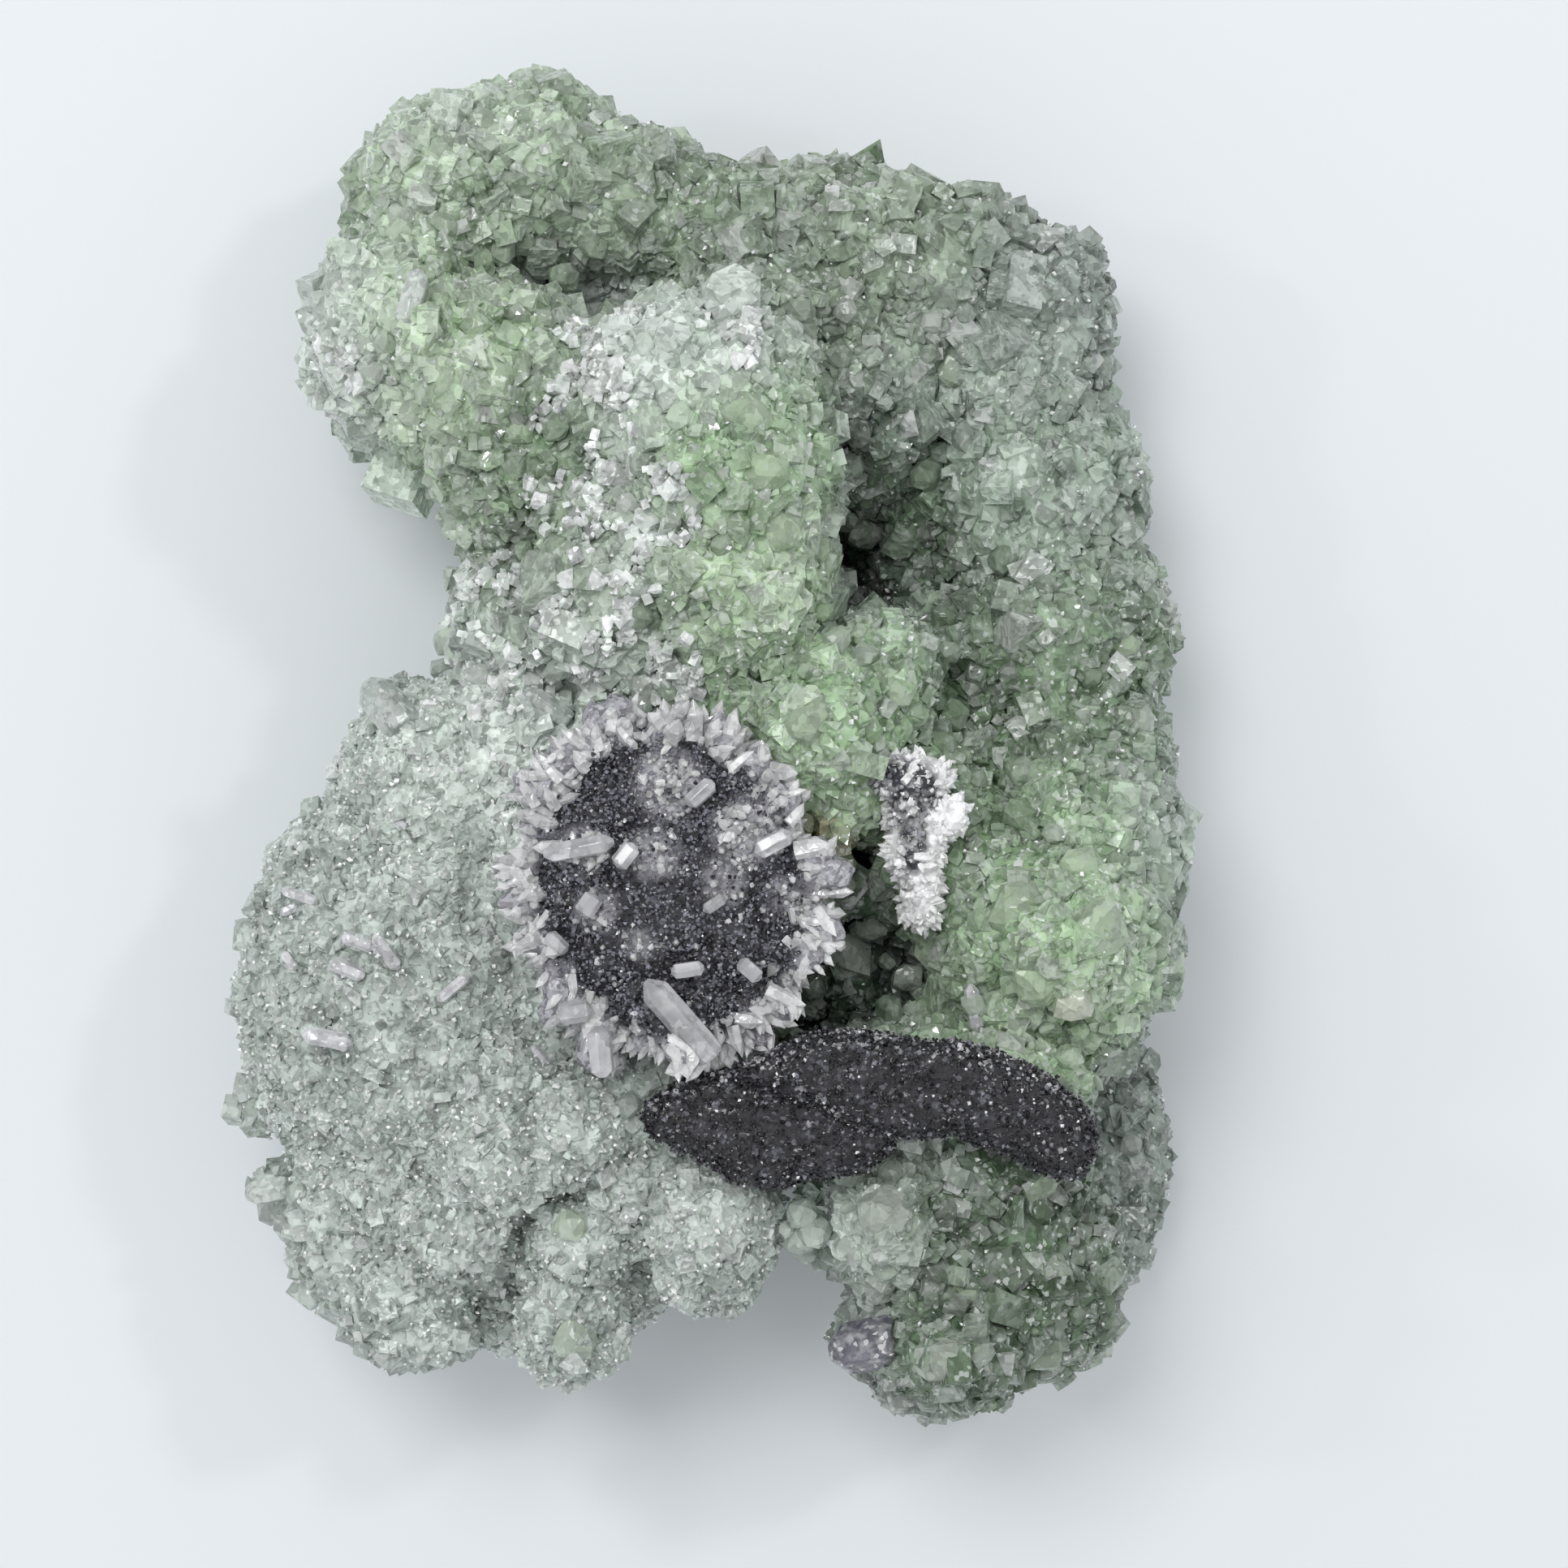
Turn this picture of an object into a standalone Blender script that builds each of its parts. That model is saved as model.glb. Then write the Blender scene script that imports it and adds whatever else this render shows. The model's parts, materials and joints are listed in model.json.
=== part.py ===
"""Sugar fluorite specimen with quartz, lying on its broken back.

Metres, +Z up. +X is the specimen's right and +Y its top, as its face is seen from above.
The crust is a cluster of grown-together lobes with knobs on them. A fringed quartz rosette,
a dark blade of fine quartz and a small quartz spur sit in pockets on the crust's face.
"""

import math
import random
from collections import namedtuple

import bmesh
import bpy
import numpy as np
from mathutils import Matrix, Vector

MM = 0.001

# Driving dimensions, in millimetres
VOXEL = 0.8  # grid on which the lobes grow together
CRUST_SHARE = 0.0335  # share of the grown skin's triangles that the facets keep
SPUR_VOXEL = 0.5
SPUR_SHARE = 0.08
BOX_CENTRE = (-0.716, 0.732)  # middle of the outline's box, which goes to the origin
ROSETTE_VOXEL = 0.7
ROSETTE_SHARE = 0.034
FIT_GAP = 0.3  # clear gap between a quartz piece and its pocket
FLOOR_BLOCK = 200.0  # side of the block that breaks the back off flat at Z = 0
GOLDEN_ANGLE = math.pi * (3 - math.sqrt(5))
KNOB_SPACING = 1.75  # distance between knobs over their radius

Lobe = namedtuple("Lobe", "name x y z rx ry rz knob")

# Centre, radii and knob radius of each lobe of the crust, in millimetres. A knob of 0 leaves it plain.
LOBES = [
    # The broken matrix that everything grows from, and the floors of the hollows
    Lobe("core", 3, 4, 3, 26, 38, 8, 0),
    Lobe("core_left", -20, -20, 6, 19, 24, 11, 0),
    Lobe("hollow_floor", -9, 42, 12, 15, 9, 9, 2.0),
    Lobe("channel_floor", 14, 20, 3, 6, 20, 8, 2.0),
    Lobe("recess_floor", 14, -18, 7, 10, 13, 13, 2.2),
    # Crown: the far wall of the upper hollow, and the ridge to its right
    Lobe("crown_left", -23.7, 49.4, 20, 8.2, 8.6, 12, 2.8),
    Lobe("crown_top", -17.0, 51.8, 19, 7.8, 8.2, 12, 2.8),
    Lobe("crown_mid", -8.4, 49.2, 18, 7.6, 7.0, 12, 2.6),
    Lobe("crown_saddle", 2.0, 46.4, 19, 8.5, 5.8, 12, 2.4),
    Lobe("crown_bridge", 5.0, 39.0, 22, 8.0, 6.0, 12, 2.4),
    Lobe("ridge_left", 12.0, 46.0, 18, 8.5, 6.8, 12, 2.4),
    Lobe("ridge_mid", 21.4, 43.0, 17, 9.0, 7.2, 12, 2.4),
    Lobe("ridge_right", 28.8, 40.4, 17, 7.0, 6.6, 11, 2.4),
    # Right wall, from its foot in the channel to its rounded edge
    Lobe("wall_top", 16.4, 38.0, 15, 9.5, 8.5, 13, 2.2),
    Lobe("wall_hollow", 13.0, 31.0, 18, 7.5, 8.0, 14, 2.2),
    Lobe("wall_upper", 26.6, 34.0, 15, 8.4, 9.0, 13, 2.2),
    Lobe("wall_mid", 28.8, 23.0, 14, 10.2, 10.0, 14, 2.4),
    Lobe("wall_low", 30.6, 9.5, 14, 10.8, 11.0, 15, 2.6),
    Lobe("wall_inner", 20.5, 20.0, 8, 6.5, 14.0, 12, 2.2),
    Lobe("wall_inner_low", 22.5, 7.0, 12, 8.0, 9.0, 13, 2.4),
    Lobe("wall_foot", 31.4, -1.5, 16, 10.0, 6.5, 15, 2.8),
    # Upper left shoulder
    Lobe("shoulder_top", -27.2, 42.4, 23, 6.3, 5.0, 11, 2.4),
    Lobe("shoulder_left", -26.6, 36.4, 24, 8.6, 8.4, 14, 2.8),
    Lobe("shoulder_mid", -19.2, 31.4, 26, 9.0, 9.4, 15, 2.8),
    Lobe("shoulder_low", -14.6, 23.2, 24, 7.8, 8.0, 15, 2.4),
    Lobe("shoulder_tip", -33.4, 34.0, 23, 3.4, 3.0, 7, 0),
    Lobe("shoulder_under", -31.0, 30.2, 16, 3.4, 3.0, 6, 0),
    # Column down the middle, the foremost part of the upper half
    Lobe("column_top", -1.0, 31.4, 31, 10.2, 7.6, 15, 2.6),
    Lobe("column_mid", 1.2, 23.4, 32, 9.2, 9.0, 16, 2.8),
    Lobe("column_low", 1.2, 13.8, 31, 8.8, 9.0, 16, 2.8),
    Lobe("column_side", -9.0, 13.4, 28, 9.4, 9.4, 15, 2.6),
    Lobe("column_notch", -9.0, 26.0, 27, 6.0, 9.0, 14, 2.2),
    Lobe("column_foot", -16.4, 11.4, 22, 6.2, 8.0, 15, 2.4),
    Lobe("column_base", 0.0, 5.0, 25, 11.0, 6.0, 14, 2.4),
    # Pale lobe under the column
    Lobe("centre_lobe", 9.4, 1.4, 31, 7.2, 6.6, 15, 2.8),
    Lobe("centre_right", 15.0, 5.4, 27, 5.0, 6.0, 12, 2.4),
    Lobe("centre_low", 11.0, -3.6, 29, 6.6, 4.6, 12, 2.4),
    Lobe("centre_bridge", 18.0, -2.0, 20, 6.0, 5.0, 13, 2.4),
    # Knob at the right, the glassiest lobe
    Lobe("knob_main", 30.0, -17.2, 26, 11.0, 10.4, 17, 3.2),
    Lobe("knob_upper", 33.0, -8.4, 22, 9.2, 8.0, 16, 3.0),
    Lobe("knob_left", 22.0, -11.4, 24, 6.8, 7.6, 15, 2.8),
    Lobe("knob_low", 27.0, -24.0, 25, 7.0, 5.0, 13, 2.6),
    Lobe("knob_crest", 30.4, -18.0, 38, 5.4, 5.2, 8, 2.4),
    # Seats of the rosette and the blade, and the crystals that stand in the recess
    Lobe("rosette_seat", -3.6, -12.0, 24, 12.6, 14.0, 17.5, 2.4),
    Lobe("seat_left", -13.0, -9.0, 30, 5.4, 8.0, 12.5, 2.2),
    Lobe("seat_top", -6.0, -1.6, 30, 8.0, 5.0, 12.5, 2.2),
    Lobe("seat_right", 3.6, -12.0, 28, 6.0, 8.0, 13.0, 2.2),
    Lobe("seat_low", -3.0, -22.6, 30, 8.0, 5.4, 13.0, 2.2),
    Lobe("blade_seat_left", 4.0, -32.2, 33, 9.0, 4.4, 12.5, 2.0),
    Lobe("blade_seat_right", 20.4, -30.0, 31, 12.6, 4.6, 15.5, 2.0),
    Lobe("recess_ball", 11.8, -20.6, 22, 4.2, 4.2, 9, 0),
    Lobe("recess_bead", 8.0, -22.0, 22, 2.8, 2.8, 8, 0),
    Lobe("recess_right", 18.0, -24.4, 18, 5.0, 4.2, 9, 2.0),
    # Pillow at the lower left, even and fine grained
    Lobe("pillow_main", -25.4, -22.4, 21, 17.2, 20.0, 18, 1.6),
    Lobe("pillow_upper", -22.4, -3.2, 23, 10.8, 8.8, 14, 1.8),
    Lobe("pillow_shoulder", -16.2, 2.2, 24, 6.8, 4.8, 12, 2.0),
    Lobe("pillow_right", -12.0, -24.0, 23, 10.0, 13.0, 15, 1.8),
    Lobe("pillow_low", -22.0, -40.6, 20, 14.6, 11.0, 15, 2.4),
    Lobe("pillow_corner", -31.6, -43.0, 18, 7.0, 8.0, 13, 2.2),
    Lobe("knuckle_high", -18.6, -36.0, 39, 4.4, 4.4, 8, 1.8),
    Lobe("knuckle_right", -12.0, -33.6, 39, 3.7, 4.2, 7, 1.8),
    Lobe("knuckle_pale", -18.0, -30.0, 38, 3.4, 3.2, 5, 0),
    Lobe("knuckle_low", -22.2, -42.6, 33, 4.6, 4.0, 9, 1.8),
    Lobe("toe_left", -27.2, -50.4, 25, 5.6, 5.0, 10, 2.0),
    Lobe("toe_mid", -17.4, -50.4, 20, 5.2, 4.4, 9, 2.0),
    Lobe("toe_right", -12.4, -51.6, 31, 4.3, 4.4, 7, 1.8),
    Lobe("toe_back", -10.4, -47.4, 20, 6.0, 6.2, 10, 2.0),
    Lobe("toe_front", -12.0, -43.4, 31, 5.2, 4.4, 8, 1.8),
    Lobe("heel", 0.0, -41.6, 33, 5.2, 7.8, 11, 2.2),
    Lobe("heel_back", -6.4, -38.0, 30, 6.4, 5.4, 11, 2.2),
    Lobe("heel_bridge", -5.0, -31.0, 32, 8.0, 5.0, 11, 2.0),
    # Leg at the lower right, and the plates behind it
    Lobe("leg_main", 23.6, -45.2, 25, 11.2, 10.8, 16, 3.2),
    Lobe("leg_left", 16.0, -41.6, 33, 5.0, 5.0, 12, 2.4),
    Lobe("leg_low", 21.0, -52.4, 28, 7.4, 6.2, 13, 2.8),
    Lobe("leg_crest", 20.6, -52.8, 38, 4.4, 4.0, 6, 1.8),
    Lobe("leg_right", 30.6, -48.0, 22, 5.6, 7.8, 14, 2.6),
    Lobe("leg_top", 24.0, -36.6, 29, 8.4, 5.2, 13, 2.6),
    Lobe("plate_right", 34.0, -38.4, 8, 7.6, 12.0, 7, 2.4),
    Lobe("plate_left", 15.4, -42.4, 8, 6.2, 6.4, 7, 2.0),
    Lobe("plate_root", 22.0, -32.0, 8, 12.0, 8.0, 8, 0),
]

Crystal = namedtuple("Crystal", "x y z width length lean heading")

# Quartz and fluorite crystals big enough to see from a step away, standing on the crust.
# x, y, z is the root, lean is the angle from upright and heading that about Z, in degrees.
CRUST_CRYSTALS = [
    Crystal(-25.4, 0.4, 20, 6.4, 8.6, 66, 140),  # smooth one at the pillow's shoulder
    Crystal(-38.0, -40.6, 18, 2.8, 5.0, 85, 178),  # clear stub at the left edge
    Crystal(-38.6, -33.0, 18, 5.0, 5.6, 88, 182),
    Crystal(18.6, -52.6, 26, 6.6, 8.2, 84, 186),  # smoky one at the leg's lower left
    Crystal(16.0, -45.6, 22, 2.6, 6.6, 86, 186),
    Crystal(16.0, -15.0, 30, 3.0, 8.0, 62, 160),  # twin points over the recess
    Crystal(20.4, -21.0, 27, 3.4, 9.0, 30, 250),
    Crystal(-24.8, 32.0, 36, 3.8, 8.4, 40, 100),  # pale point on the shoulder
    Crystal(-16.0, 3.0, 30, 3.0, 7.0, 60, 350),
]

# Rosette: an oval plate with quartz crystals on its face and round its rim
ROSETTE_CENTRE = (-3.4, -12.4, 43.0)
ROSETTE_RADII = (12.0, 13.8, 5.2)
ROSETTE_KNOB = 2.2
ROSETTE_TURN = 18.0  # degrees about Z
RIM_CRYSTALS = 30
RIM_WIDTH = (2.2, 3.4)
RIM_LENGTH = (4.4, 6.6)
FACE_CRYSTALS = 20
FACE_WIDTH = (2.0, 3.4)
FACE_LENGTH = (2.8, 4.0)
# Loose-lying points on the rosette's face: the long one at the bottom and a smaller one at the left
ROSETTE_POINTS = [
    Crystal(-6.6, -20.6, 48.4, 3.0, 9.6, 78, -52),
    Crystal(-13.4, -9.6, 47.8, 2.4, 6.8, 84, 8),
    Crystal(-9.8, -23.4, 44.4, 3.0, 5.6, 60, 268),
    Crystal(-10.4, -22.6, 44.6, 2.6, 5.0, 66, 190),
    Crystal(-7.6, -27.4, 43.6, 2.2, 4.4, 70, 176),
]

# Blade: a long plate with a second, shorter one under it, both seen from above
BLADE_UPPER = [
    (2.0, -28.2), (5.0, -26.9), (8.0, -25.2), (12.0, -24.8), (16.6, -25.6), (20.6, -25.8),
    (24.2, -26.6), (28.0, -28.2), (30.6, -30.2), (32.8, -32.4), (33.0, -35.4), (31.4, -37.2),
    (28.4, -36.6), (25.0, -34.8), (21.0, -33.4), (17.0, -33.6), (13.4, -33.0), (9.6, -31.0),
    (5.4, -29.8),
]
BLADE_LOWER = [
    (-5.8, -31.8), (-3.2, -29.6), (0.0, -28.4), (4.6, -28.0), (9.0, -29.0), (13.0, -31.4),
    (16.2, -33.2), (15.6, -35.0), (13.0, -36.8), (9.0, -37.2), (5.0, -38.2), (2.0, -37.4),
    (-1.0, -35.4), (-4.8, -33.8),
]
BLADE_UPPER_SPAN = (44.4, 49.4)  # underside and top
BLADE_LOWER_SPAN = (43.2, 47.4)
BLADE_EDGE = 1.1  # rounding of the plates' edges

# Spur: two small grey growths and a milky knob on the lobe between recess and knob
SPUR_PARTS = [
    Lobe("wing", 17.4, -3.0, 39.6, 3.6, 2.2, 3.4, 0),
    Lobe("waist", 17.2, -6.4, 39.8, 2.0, 2.2, 3.4, 0),
    Lobe("body", 17.8, -9.4, 39.6, 2.4, 3.0, 3.6, 0),
    Lobe("tail", 18.4, -13.6, 38.0, 1.9, 3.0, 3.4, 0),
    Lobe("arm", 20.0, -6.8, 40.2, 1.9, 1.3, 1.9, 0),
    Lobe("milky", 21.2, -6.2, 41.4, 1.3, 1.5, 1.5, 0),
]

# Principled BSDF settings of each finish: colour, roughness, transmission
FINISHES = {
    "green_fluorite": ((0.46, 0.60, 0.47), 0.25, 0.3),
    "dusted_quartz": ((0.42, 0.42, 0.45), 0.35, 0.1),
    "dark_druse": ((0.10, 0.10, 0.12), 0.45, 0.0),
    "milky_quartz": ((0.75, 0.75, 0.76), 0.25, 0.3),
}


def clear_scene():
    """Removes what the startup file holds."""
    for obj in list(bpy.data.objects):
        bpy.data.objects.remove(obj)


def finish(name):
    """The Principled material of this name, made once."""
    if name in bpy.data.materials:
        return bpy.data.materials[name]
    colour, roughness, transmission = FINISHES[name]
    material = bpy.data.materials.new(name)
    material.use_nodes = True
    shader = material.node_tree.nodes["Principled BSDF"]
    shader.inputs["Base Color"].default_value = (*colour, 1.0)
    shader.inputs["Roughness"].default_value = roughness
    shader.inputs["Metallic"].default_value = 0.0
    shader.inputs["Transmission Weight"].default_value = transmission
    return material


def add_mesh_object(name, mesh, material=None):
    """Links a mesh, already in metres, into the scene as an object."""
    obj = bpy.data.objects.new(name, mesh)
    bpy.context.scene.collection.objects.link(obj)
    if material:
        mesh.materials.append(finish(material))
    return obj


def add_object(name, bm, material=None):
    """Puts a bmesh, built in millimetres, into the scene as an object in metres."""
    bmesh.ops.scale(bm, vec=(MM, MM, MM), verts=bm.verts)
    mesh = bpy.data.meshes.new(name)
    bm.to_mesh(mesh)
    bm.free()
    return add_mesh_object(name, mesh, material)


def as_cutter(obj):
    """Keeps an object out of the render and out of the solids."""
    obj.hide_render = True
    obj.display_type = "WIRE"
    return obj


def add_boolean(obj, other, operation):
    """Cuts or joins one object with another by an exact Boolean."""
    modifier = obj.modifiers.new(other.name, "BOOLEAN")
    modifier.object = other
    modifier.operation = operation
    modifier.solver = "EXACT"


def unit_ball(rounds):
    """Corners and triangles of a unit icosphere."""
    bm = bmesh.new()
    bmesh.ops.create_icosphere(bm, subdivisions=rounds, radius=1.0)
    corners = np.array([v.co[:] for v in bm.verts])
    triangles = np.array([[v.index for v in f.verts] for f in bm.faces])
    bm.free()
    return corners, triangles


def knobs_of(lobe, others, rng, lowest=0.0):
    """Evenly spaced knobs on a lobe, but none below a height or swallowed by another lobe."""
    radii = np.array([lobe.rx, lobe.ry, lobe.rz])
    middle = np.array([lobe.x, lobe.y, lobe.z])
    count = int(4 * math.pi * radii.mean() ** 2 / (KNOB_SPACING * lobe.knob) ** 2)
    knobs = []
    for i in range(count):
        height = 1 - 2 * (i + 0.5) / count
        across = math.sqrt(1 - height * height)
        turn = i * GOLDEN_ANGLE + rng.uniform(-0.25, 0.25)
        unit = np.array([across * math.cos(turn), across * math.sin(turn), height])
        size = lobe.knob * rng.uniform(0.75, 1.2)
        centre = middle + unit * (radii - size * rng.uniform(0.5, 0.8))
        swallowed = any(
            ((centre[0] - o.x) / o.rx) ** 2
            + ((centre[1] - o.y) / o.ry) ** 2
            + ((centre[2] - o.z) / o.rz) ** 2
            < 0.6
            for o in others
            if o is not lobe
        )
        if not swallowed and centre[2] > lowest:
            knobs.append((centre, size))
    return knobs


def balls_mesh(name, balls):
    """A mesh of many overlapping balls, each given as centre, radii and icosphere rounds."""
    corners, triangles, count = [], [], 0
    for centre, radii, rounds in balls:
        unit, faces = unit_ball(rounds)
        corners.append((unit * radii + centre) * MM)
        triangles.append(faces + count)
        count += len(unit)
    mesh = bpy.data.meshes.new(name)
    mesh.from_pydata(np.concatenate(corners).tolist(), [], np.concatenate(triangles).tolist())
    return mesh


def grow_together(mesh, voxel):
    """Grows a mesh of overlapping balls into one skin, without the voids that they shut in."""
    lumps = bpy.data.objects.new("lumps", mesh)
    bpy.context.scene.collection.objects.link(lumps)
    grown = lumps.modifiers.new("grow_together", "REMESH")
    grown.mode = "VOXEL"
    grown.voxel_size = voxel * MM
    soft = lumps.modifiers.new("ease", "SMOOTH")
    soft.factor = 0.5
    soft.iterations = 1
    skin = bpy.data.meshes.new_from_object(lumps.evaluated_get(bpy.context.evaluated_depsgraph_get()))
    bpy.data.objects.remove(lumps)
    bm = bmesh.new()
    bm.from_mesh(skin)
    bmesh.ops.triangulate(bm, faces=bm.faces)
    keep_outer_shell(bm)
    bm.to_mesh(skin)
    bm.free()
    return skin


def keep_outer_shell(bm):
    """Deletes every shell of a bmesh but the largest."""
    unseen, shells = set(bm.verts), []
    while unseen:
        start = unseen.pop()
        shell, front = {start}, [start]
        while front:
            here = front.pop()
            for edge in here.link_edges:
                there = edge.other_vert(here)
                if there in unseen:
                    unseen.discard(there)
                    shell.add(there)
                    front.append(there)
        shells.append(shell)
    shells.sort(key=len)
    spare = [v for shell in shells[:-1] for v in shell]
    bmesh.ops.delete(bm, geom=spare, context="VERTS")


def add_crystal(bm, root, direction, width, length, grow=0.0, spin=0.0, taper=0.94):
    """Adds a six-sided crystal with a pointed end, from its root along a direction."""
    radius = width / 2 + grow
    reach = length + grow
    shoulder = reach - 0.95 * radius
    frame = direction.to_track_quat("Z", "Y").to_matrix().to_4x4()
    place = Matrix.Translation(root) @ frame
    rings = []
    for height, size in ((-grow, radius), (shoulder, radius * taper)):
        ring = []
        for side in range(6):
            angle = spin + side * math.pi / 3
            corner = Vector((size * math.cos(angle), size * math.sin(angle), height))
            ring.append(bm.verts.new(place @ corner))
        rings.append(ring)
    tip = bm.verts.new(place @ Vector((0, 0, reach)))
    bm.faces.new(reversed(rings[0]))
    for side in range(6):
        after = (side + 1) % 6
        bm.faces.new((rings[0][side], rings[0][after], rings[1][after], rings[1][side]))
        bm.faces.new((rings[1][side], rings[1][after], tip))


def towards(lean, heading):
    """Unit vector that leans from upright towards a heading, both in degrees."""
    lean, heading = math.radians(lean), math.radians(heading)
    flat = math.sin(lean)
    return Vector((flat * math.cos(heading), flat * math.sin(heading), math.cos(lean)))


def add_listed(bm, crystals, grow=0.0):
    """Adds the listed crystals, each turned a little further about its own axis."""
    for number, crystal in enumerate(crystals):
        root = Vector((crystal.x, crystal.y, crystal.z))
        direction = towards(crystal.lean, crystal.heading)
        add_crystal(bm, root, direction, crystal.width, crystal.length, grow, spin=0.4 * number)


def join_crystals(obj, crystals):
    """Joins a set of crystals to an object by one union with their collection."""
    group = bpy.data.collections.new(f"{obj.name}_crystals")
    bpy.context.scene.collection.children.link(group)
    for number, bm in enumerate(crystals):
        piece = as_cutter(add_object(f"{obj.name}_crystal_{number}", bm))
        bpy.context.scene.collection.objects.unlink(piece)
        group.objects.link(piece)
    union = obj.modifiers.new("crystals", "BOOLEAN")
    union.operand_type = "COLLECTION"
    union.collection = group
    union.operation = "UNION"
    union.solver = "EXACT"


def crust_crystals():
    """A bmesh for each crystal that stands on the crust."""
    made = []
    for crystal in CRUST_CRYSTALS:
        bm = bmesh.new()
        add_listed(bm, [crystal])
        made.append(bm)
    return made


def build_crust():
    """The green body: lobes and knobs grown into one skin, facetted, and broken flat at the back."""
    rng = random.Random(7)
    balls = []
    for lobe in LOBES:
        balls.append(((lobe.x, lobe.y, lobe.z), (lobe.rx, lobe.ry, lobe.rz), 3))
        if lobe.knob:
            balls += [(centre, size, 2) for centre, size in knobs_of(lobe, LOBES, rng)]
    skin = grow_together(balls_mesh("fluorite_crust", balls), VOXEL)
    crust = add_mesh_object("fluorite_crust", skin, "green_fluorite")
    facets = crust.modifiers.new("facets", "DECIMATE")
    facets.ratio = CRUST_SHARE
    join_crystals(crust, crust_crystals())
    block = bmesh.new()
    below = Matrix.Translation((0, 0, -FLOOR_BLOCK / 2)) @ Matrix.Scale(FLOOR_BLOCK, 4)
    bmesh.ops.create_cube(block, size=1.0, matrix=below)
    add_boolean(crust, as_cutter(add_object("floor_block", block)), "DIFFERENCE")
    return crust


def rosette_crystals(grow=0.0):
    """A bmesh for each crystal on the rosette's face and rim, and for its loose-lying points."""
    rng = random.Random(3)
    rx, ry, rz = ROSETTE_RADII
    turn = Matrix.Translation(ROSETTE_CENTRE) @ Matrix.Rotation(math.radians(ROSETTE_TURN), 4, "Z")
    made = []
    for i in range(RIM_CRYSTALS + FACE_CRYSTALS):
        if i < RIM_CRYSTALS:
            around = 2 * math.pi * (i + rng.uniform(-0.3, 0.3)) / RIM_CRYSTALS
            out, height, lean = rng.uniform(0.74, 0.84), 0.3 * rz, rng.uniform(52, 86)
            width, length = rng.uniform(*RIM_WIDTH), rng.uniform(*RIM_LENGTH)
        else:
            on_face = i - RIM_CRYSTALS
            around = on_face * GOLDEN_ANGLE
            out = 0.8 * math.sqrt((on_face + 0.5) / FACE_CRYSTALS)
            height, lean = 0.62 * rz * math.sqrt(1 - out * out), rng.uniform(10, 60)
            width, length = rng.uniform(*FACE_WIDTH), rng.uniform(*FACE_LENGTH)
        root = Vector((rx * out * math.cos(around), ry * out * math.sin(around), height))
        direction = towards(lean, math.degrees(around) + rng.uniform(-14, 14))
        bm = bmesh.new()
        add_crystal(bm, root, direction, width, length, grow, spin=rng.uniform(0, 1))
        bmesh.ops.transform(bm, matrix=turn, verts=bm.verts)
        made.append(bm)
    for point in ROSETTE_POINTS:
        bm = bmesh.new()
        add_listed(bm, [point], grow)
        made.append(bm)
    return made


def rosette_plate(name, material=None):
    """The knobbly oval plate that the rosette's crystals stand on, as an object."""
    plate = Lobe("plate", 0, 0, 0, *ROSETTE_RADII, ROSETTE_KNOB)
    turn = Matrix.Rotation(math.radians(ROSETTE_TURN), 3, "Z")
    middle = Vector(ROSETTE_CENTRE)
    balls = [((0, 0, 0), ROSETTE_RADII, 3)]
    balls += [(spot, size, 2) for spot, size in knobs_of(plate, [], random.Random(5), -99)]
    skin = grow_together(balls_mesh(name, balls), ROSETTE_VOXEL)
    skin.transform(Matrix.Translation(middle * MM) @ turn.to_4x4())
    return add_mesh_object(name, skin, material)


def build_rosette():
    """The rosette: a knobbly plate and its crystals in one solid."""
    rosette = rosette_plate("quartz_rosette", "dusted_quartz")
    facets = rosette.modifiers.new("facets", "DECIMATE")
    facets.ratio = ROSETTE_SHARE
    join_crystals(rosette, rosette_crystals())


def rosette_pocket():
    """The hollow that the rosette sits in: its own outer hull, a clearance wider."""
    bm = bmesh.new()
    plate = rosette_plate("rosette_plate")
    middle = Vector(ROSETTE_CENTRE)
    for vert in plate.data.vertices:
        away = vert.co / MM - middle
        bm.verts.new(middle + away + away.normalized() * 1.3 * FIT_GAP)
    bpy.data.objects.remove(plate)
    for crystal in rosette_crystals(1.3 * FIT_GAP):
        for vert in crystal.verts:
            bm.verts.new(vert.co)
        crystal.free()
    hull = bmesh.ops.convex_hull(bm, input=bm.verts)
    spare = [g for g in hull["geom_interior"] if isinstance(g, bmesh.types.BMVert)]
    bmesh.ops.delete(bm, geom=spare, context="VERTS")
    return as_cutter(add_object("rosette_pocket", bm))


def add_plate(bm, outline, span, grow=0.0):
    """Adds a flat plate with the outline's shape, its edges chamfered."""
    low, high = span[0] - grow, span[1] + grow
    centre = sum((Vector((x, y, 0)) for x, y in outline), Vector()) / len(outline)
    ring = []
    for x, y in outline:
        corner = Vector((x, y, low))
        outward = Vector((x, y, 0)) - centre
        ring.append(bm.verts.new(corner + outward.normalized() * grow))
    bottom = bm.faces.new(ring)
    if bottom.normal.z > 0:
        bottom.normal_flip()
    raised = bmesh.ops.extrude_face_region(bm, geom=[bottom])["geom"]
    lifted = [v for v in raised if isinstance(v, bmesh.types.BMVert)]
    bmesh.ops.translate(bm, verts=lifted, vec=(0, 0, high - low))
    bmesh.ops.recalc_face_normals(bm, faces=bm.faces)
    rims = [e for e in bm.edges if len({round(v.co.z, 3) for v in e.verts}) == 1]
    bmesh.ops.bevel(bm, geom=rims, offset=BLADE_EDGE, segments=1, affect="EDGES")


def blade_plates(grow=0.0):
    """The blade's upper and lower plates as bmeshes."""
    plates = []
    for outline, span in ((BLADE_UPPER, BLADE_UPPER_SPAN), (BLADE_LOWER, BLADE_LOWER_SPAN)):
        bm = bmesh.new()
        add_plate(bm, outline, span, grow)
        plates.append(bm)
    return plates


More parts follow.
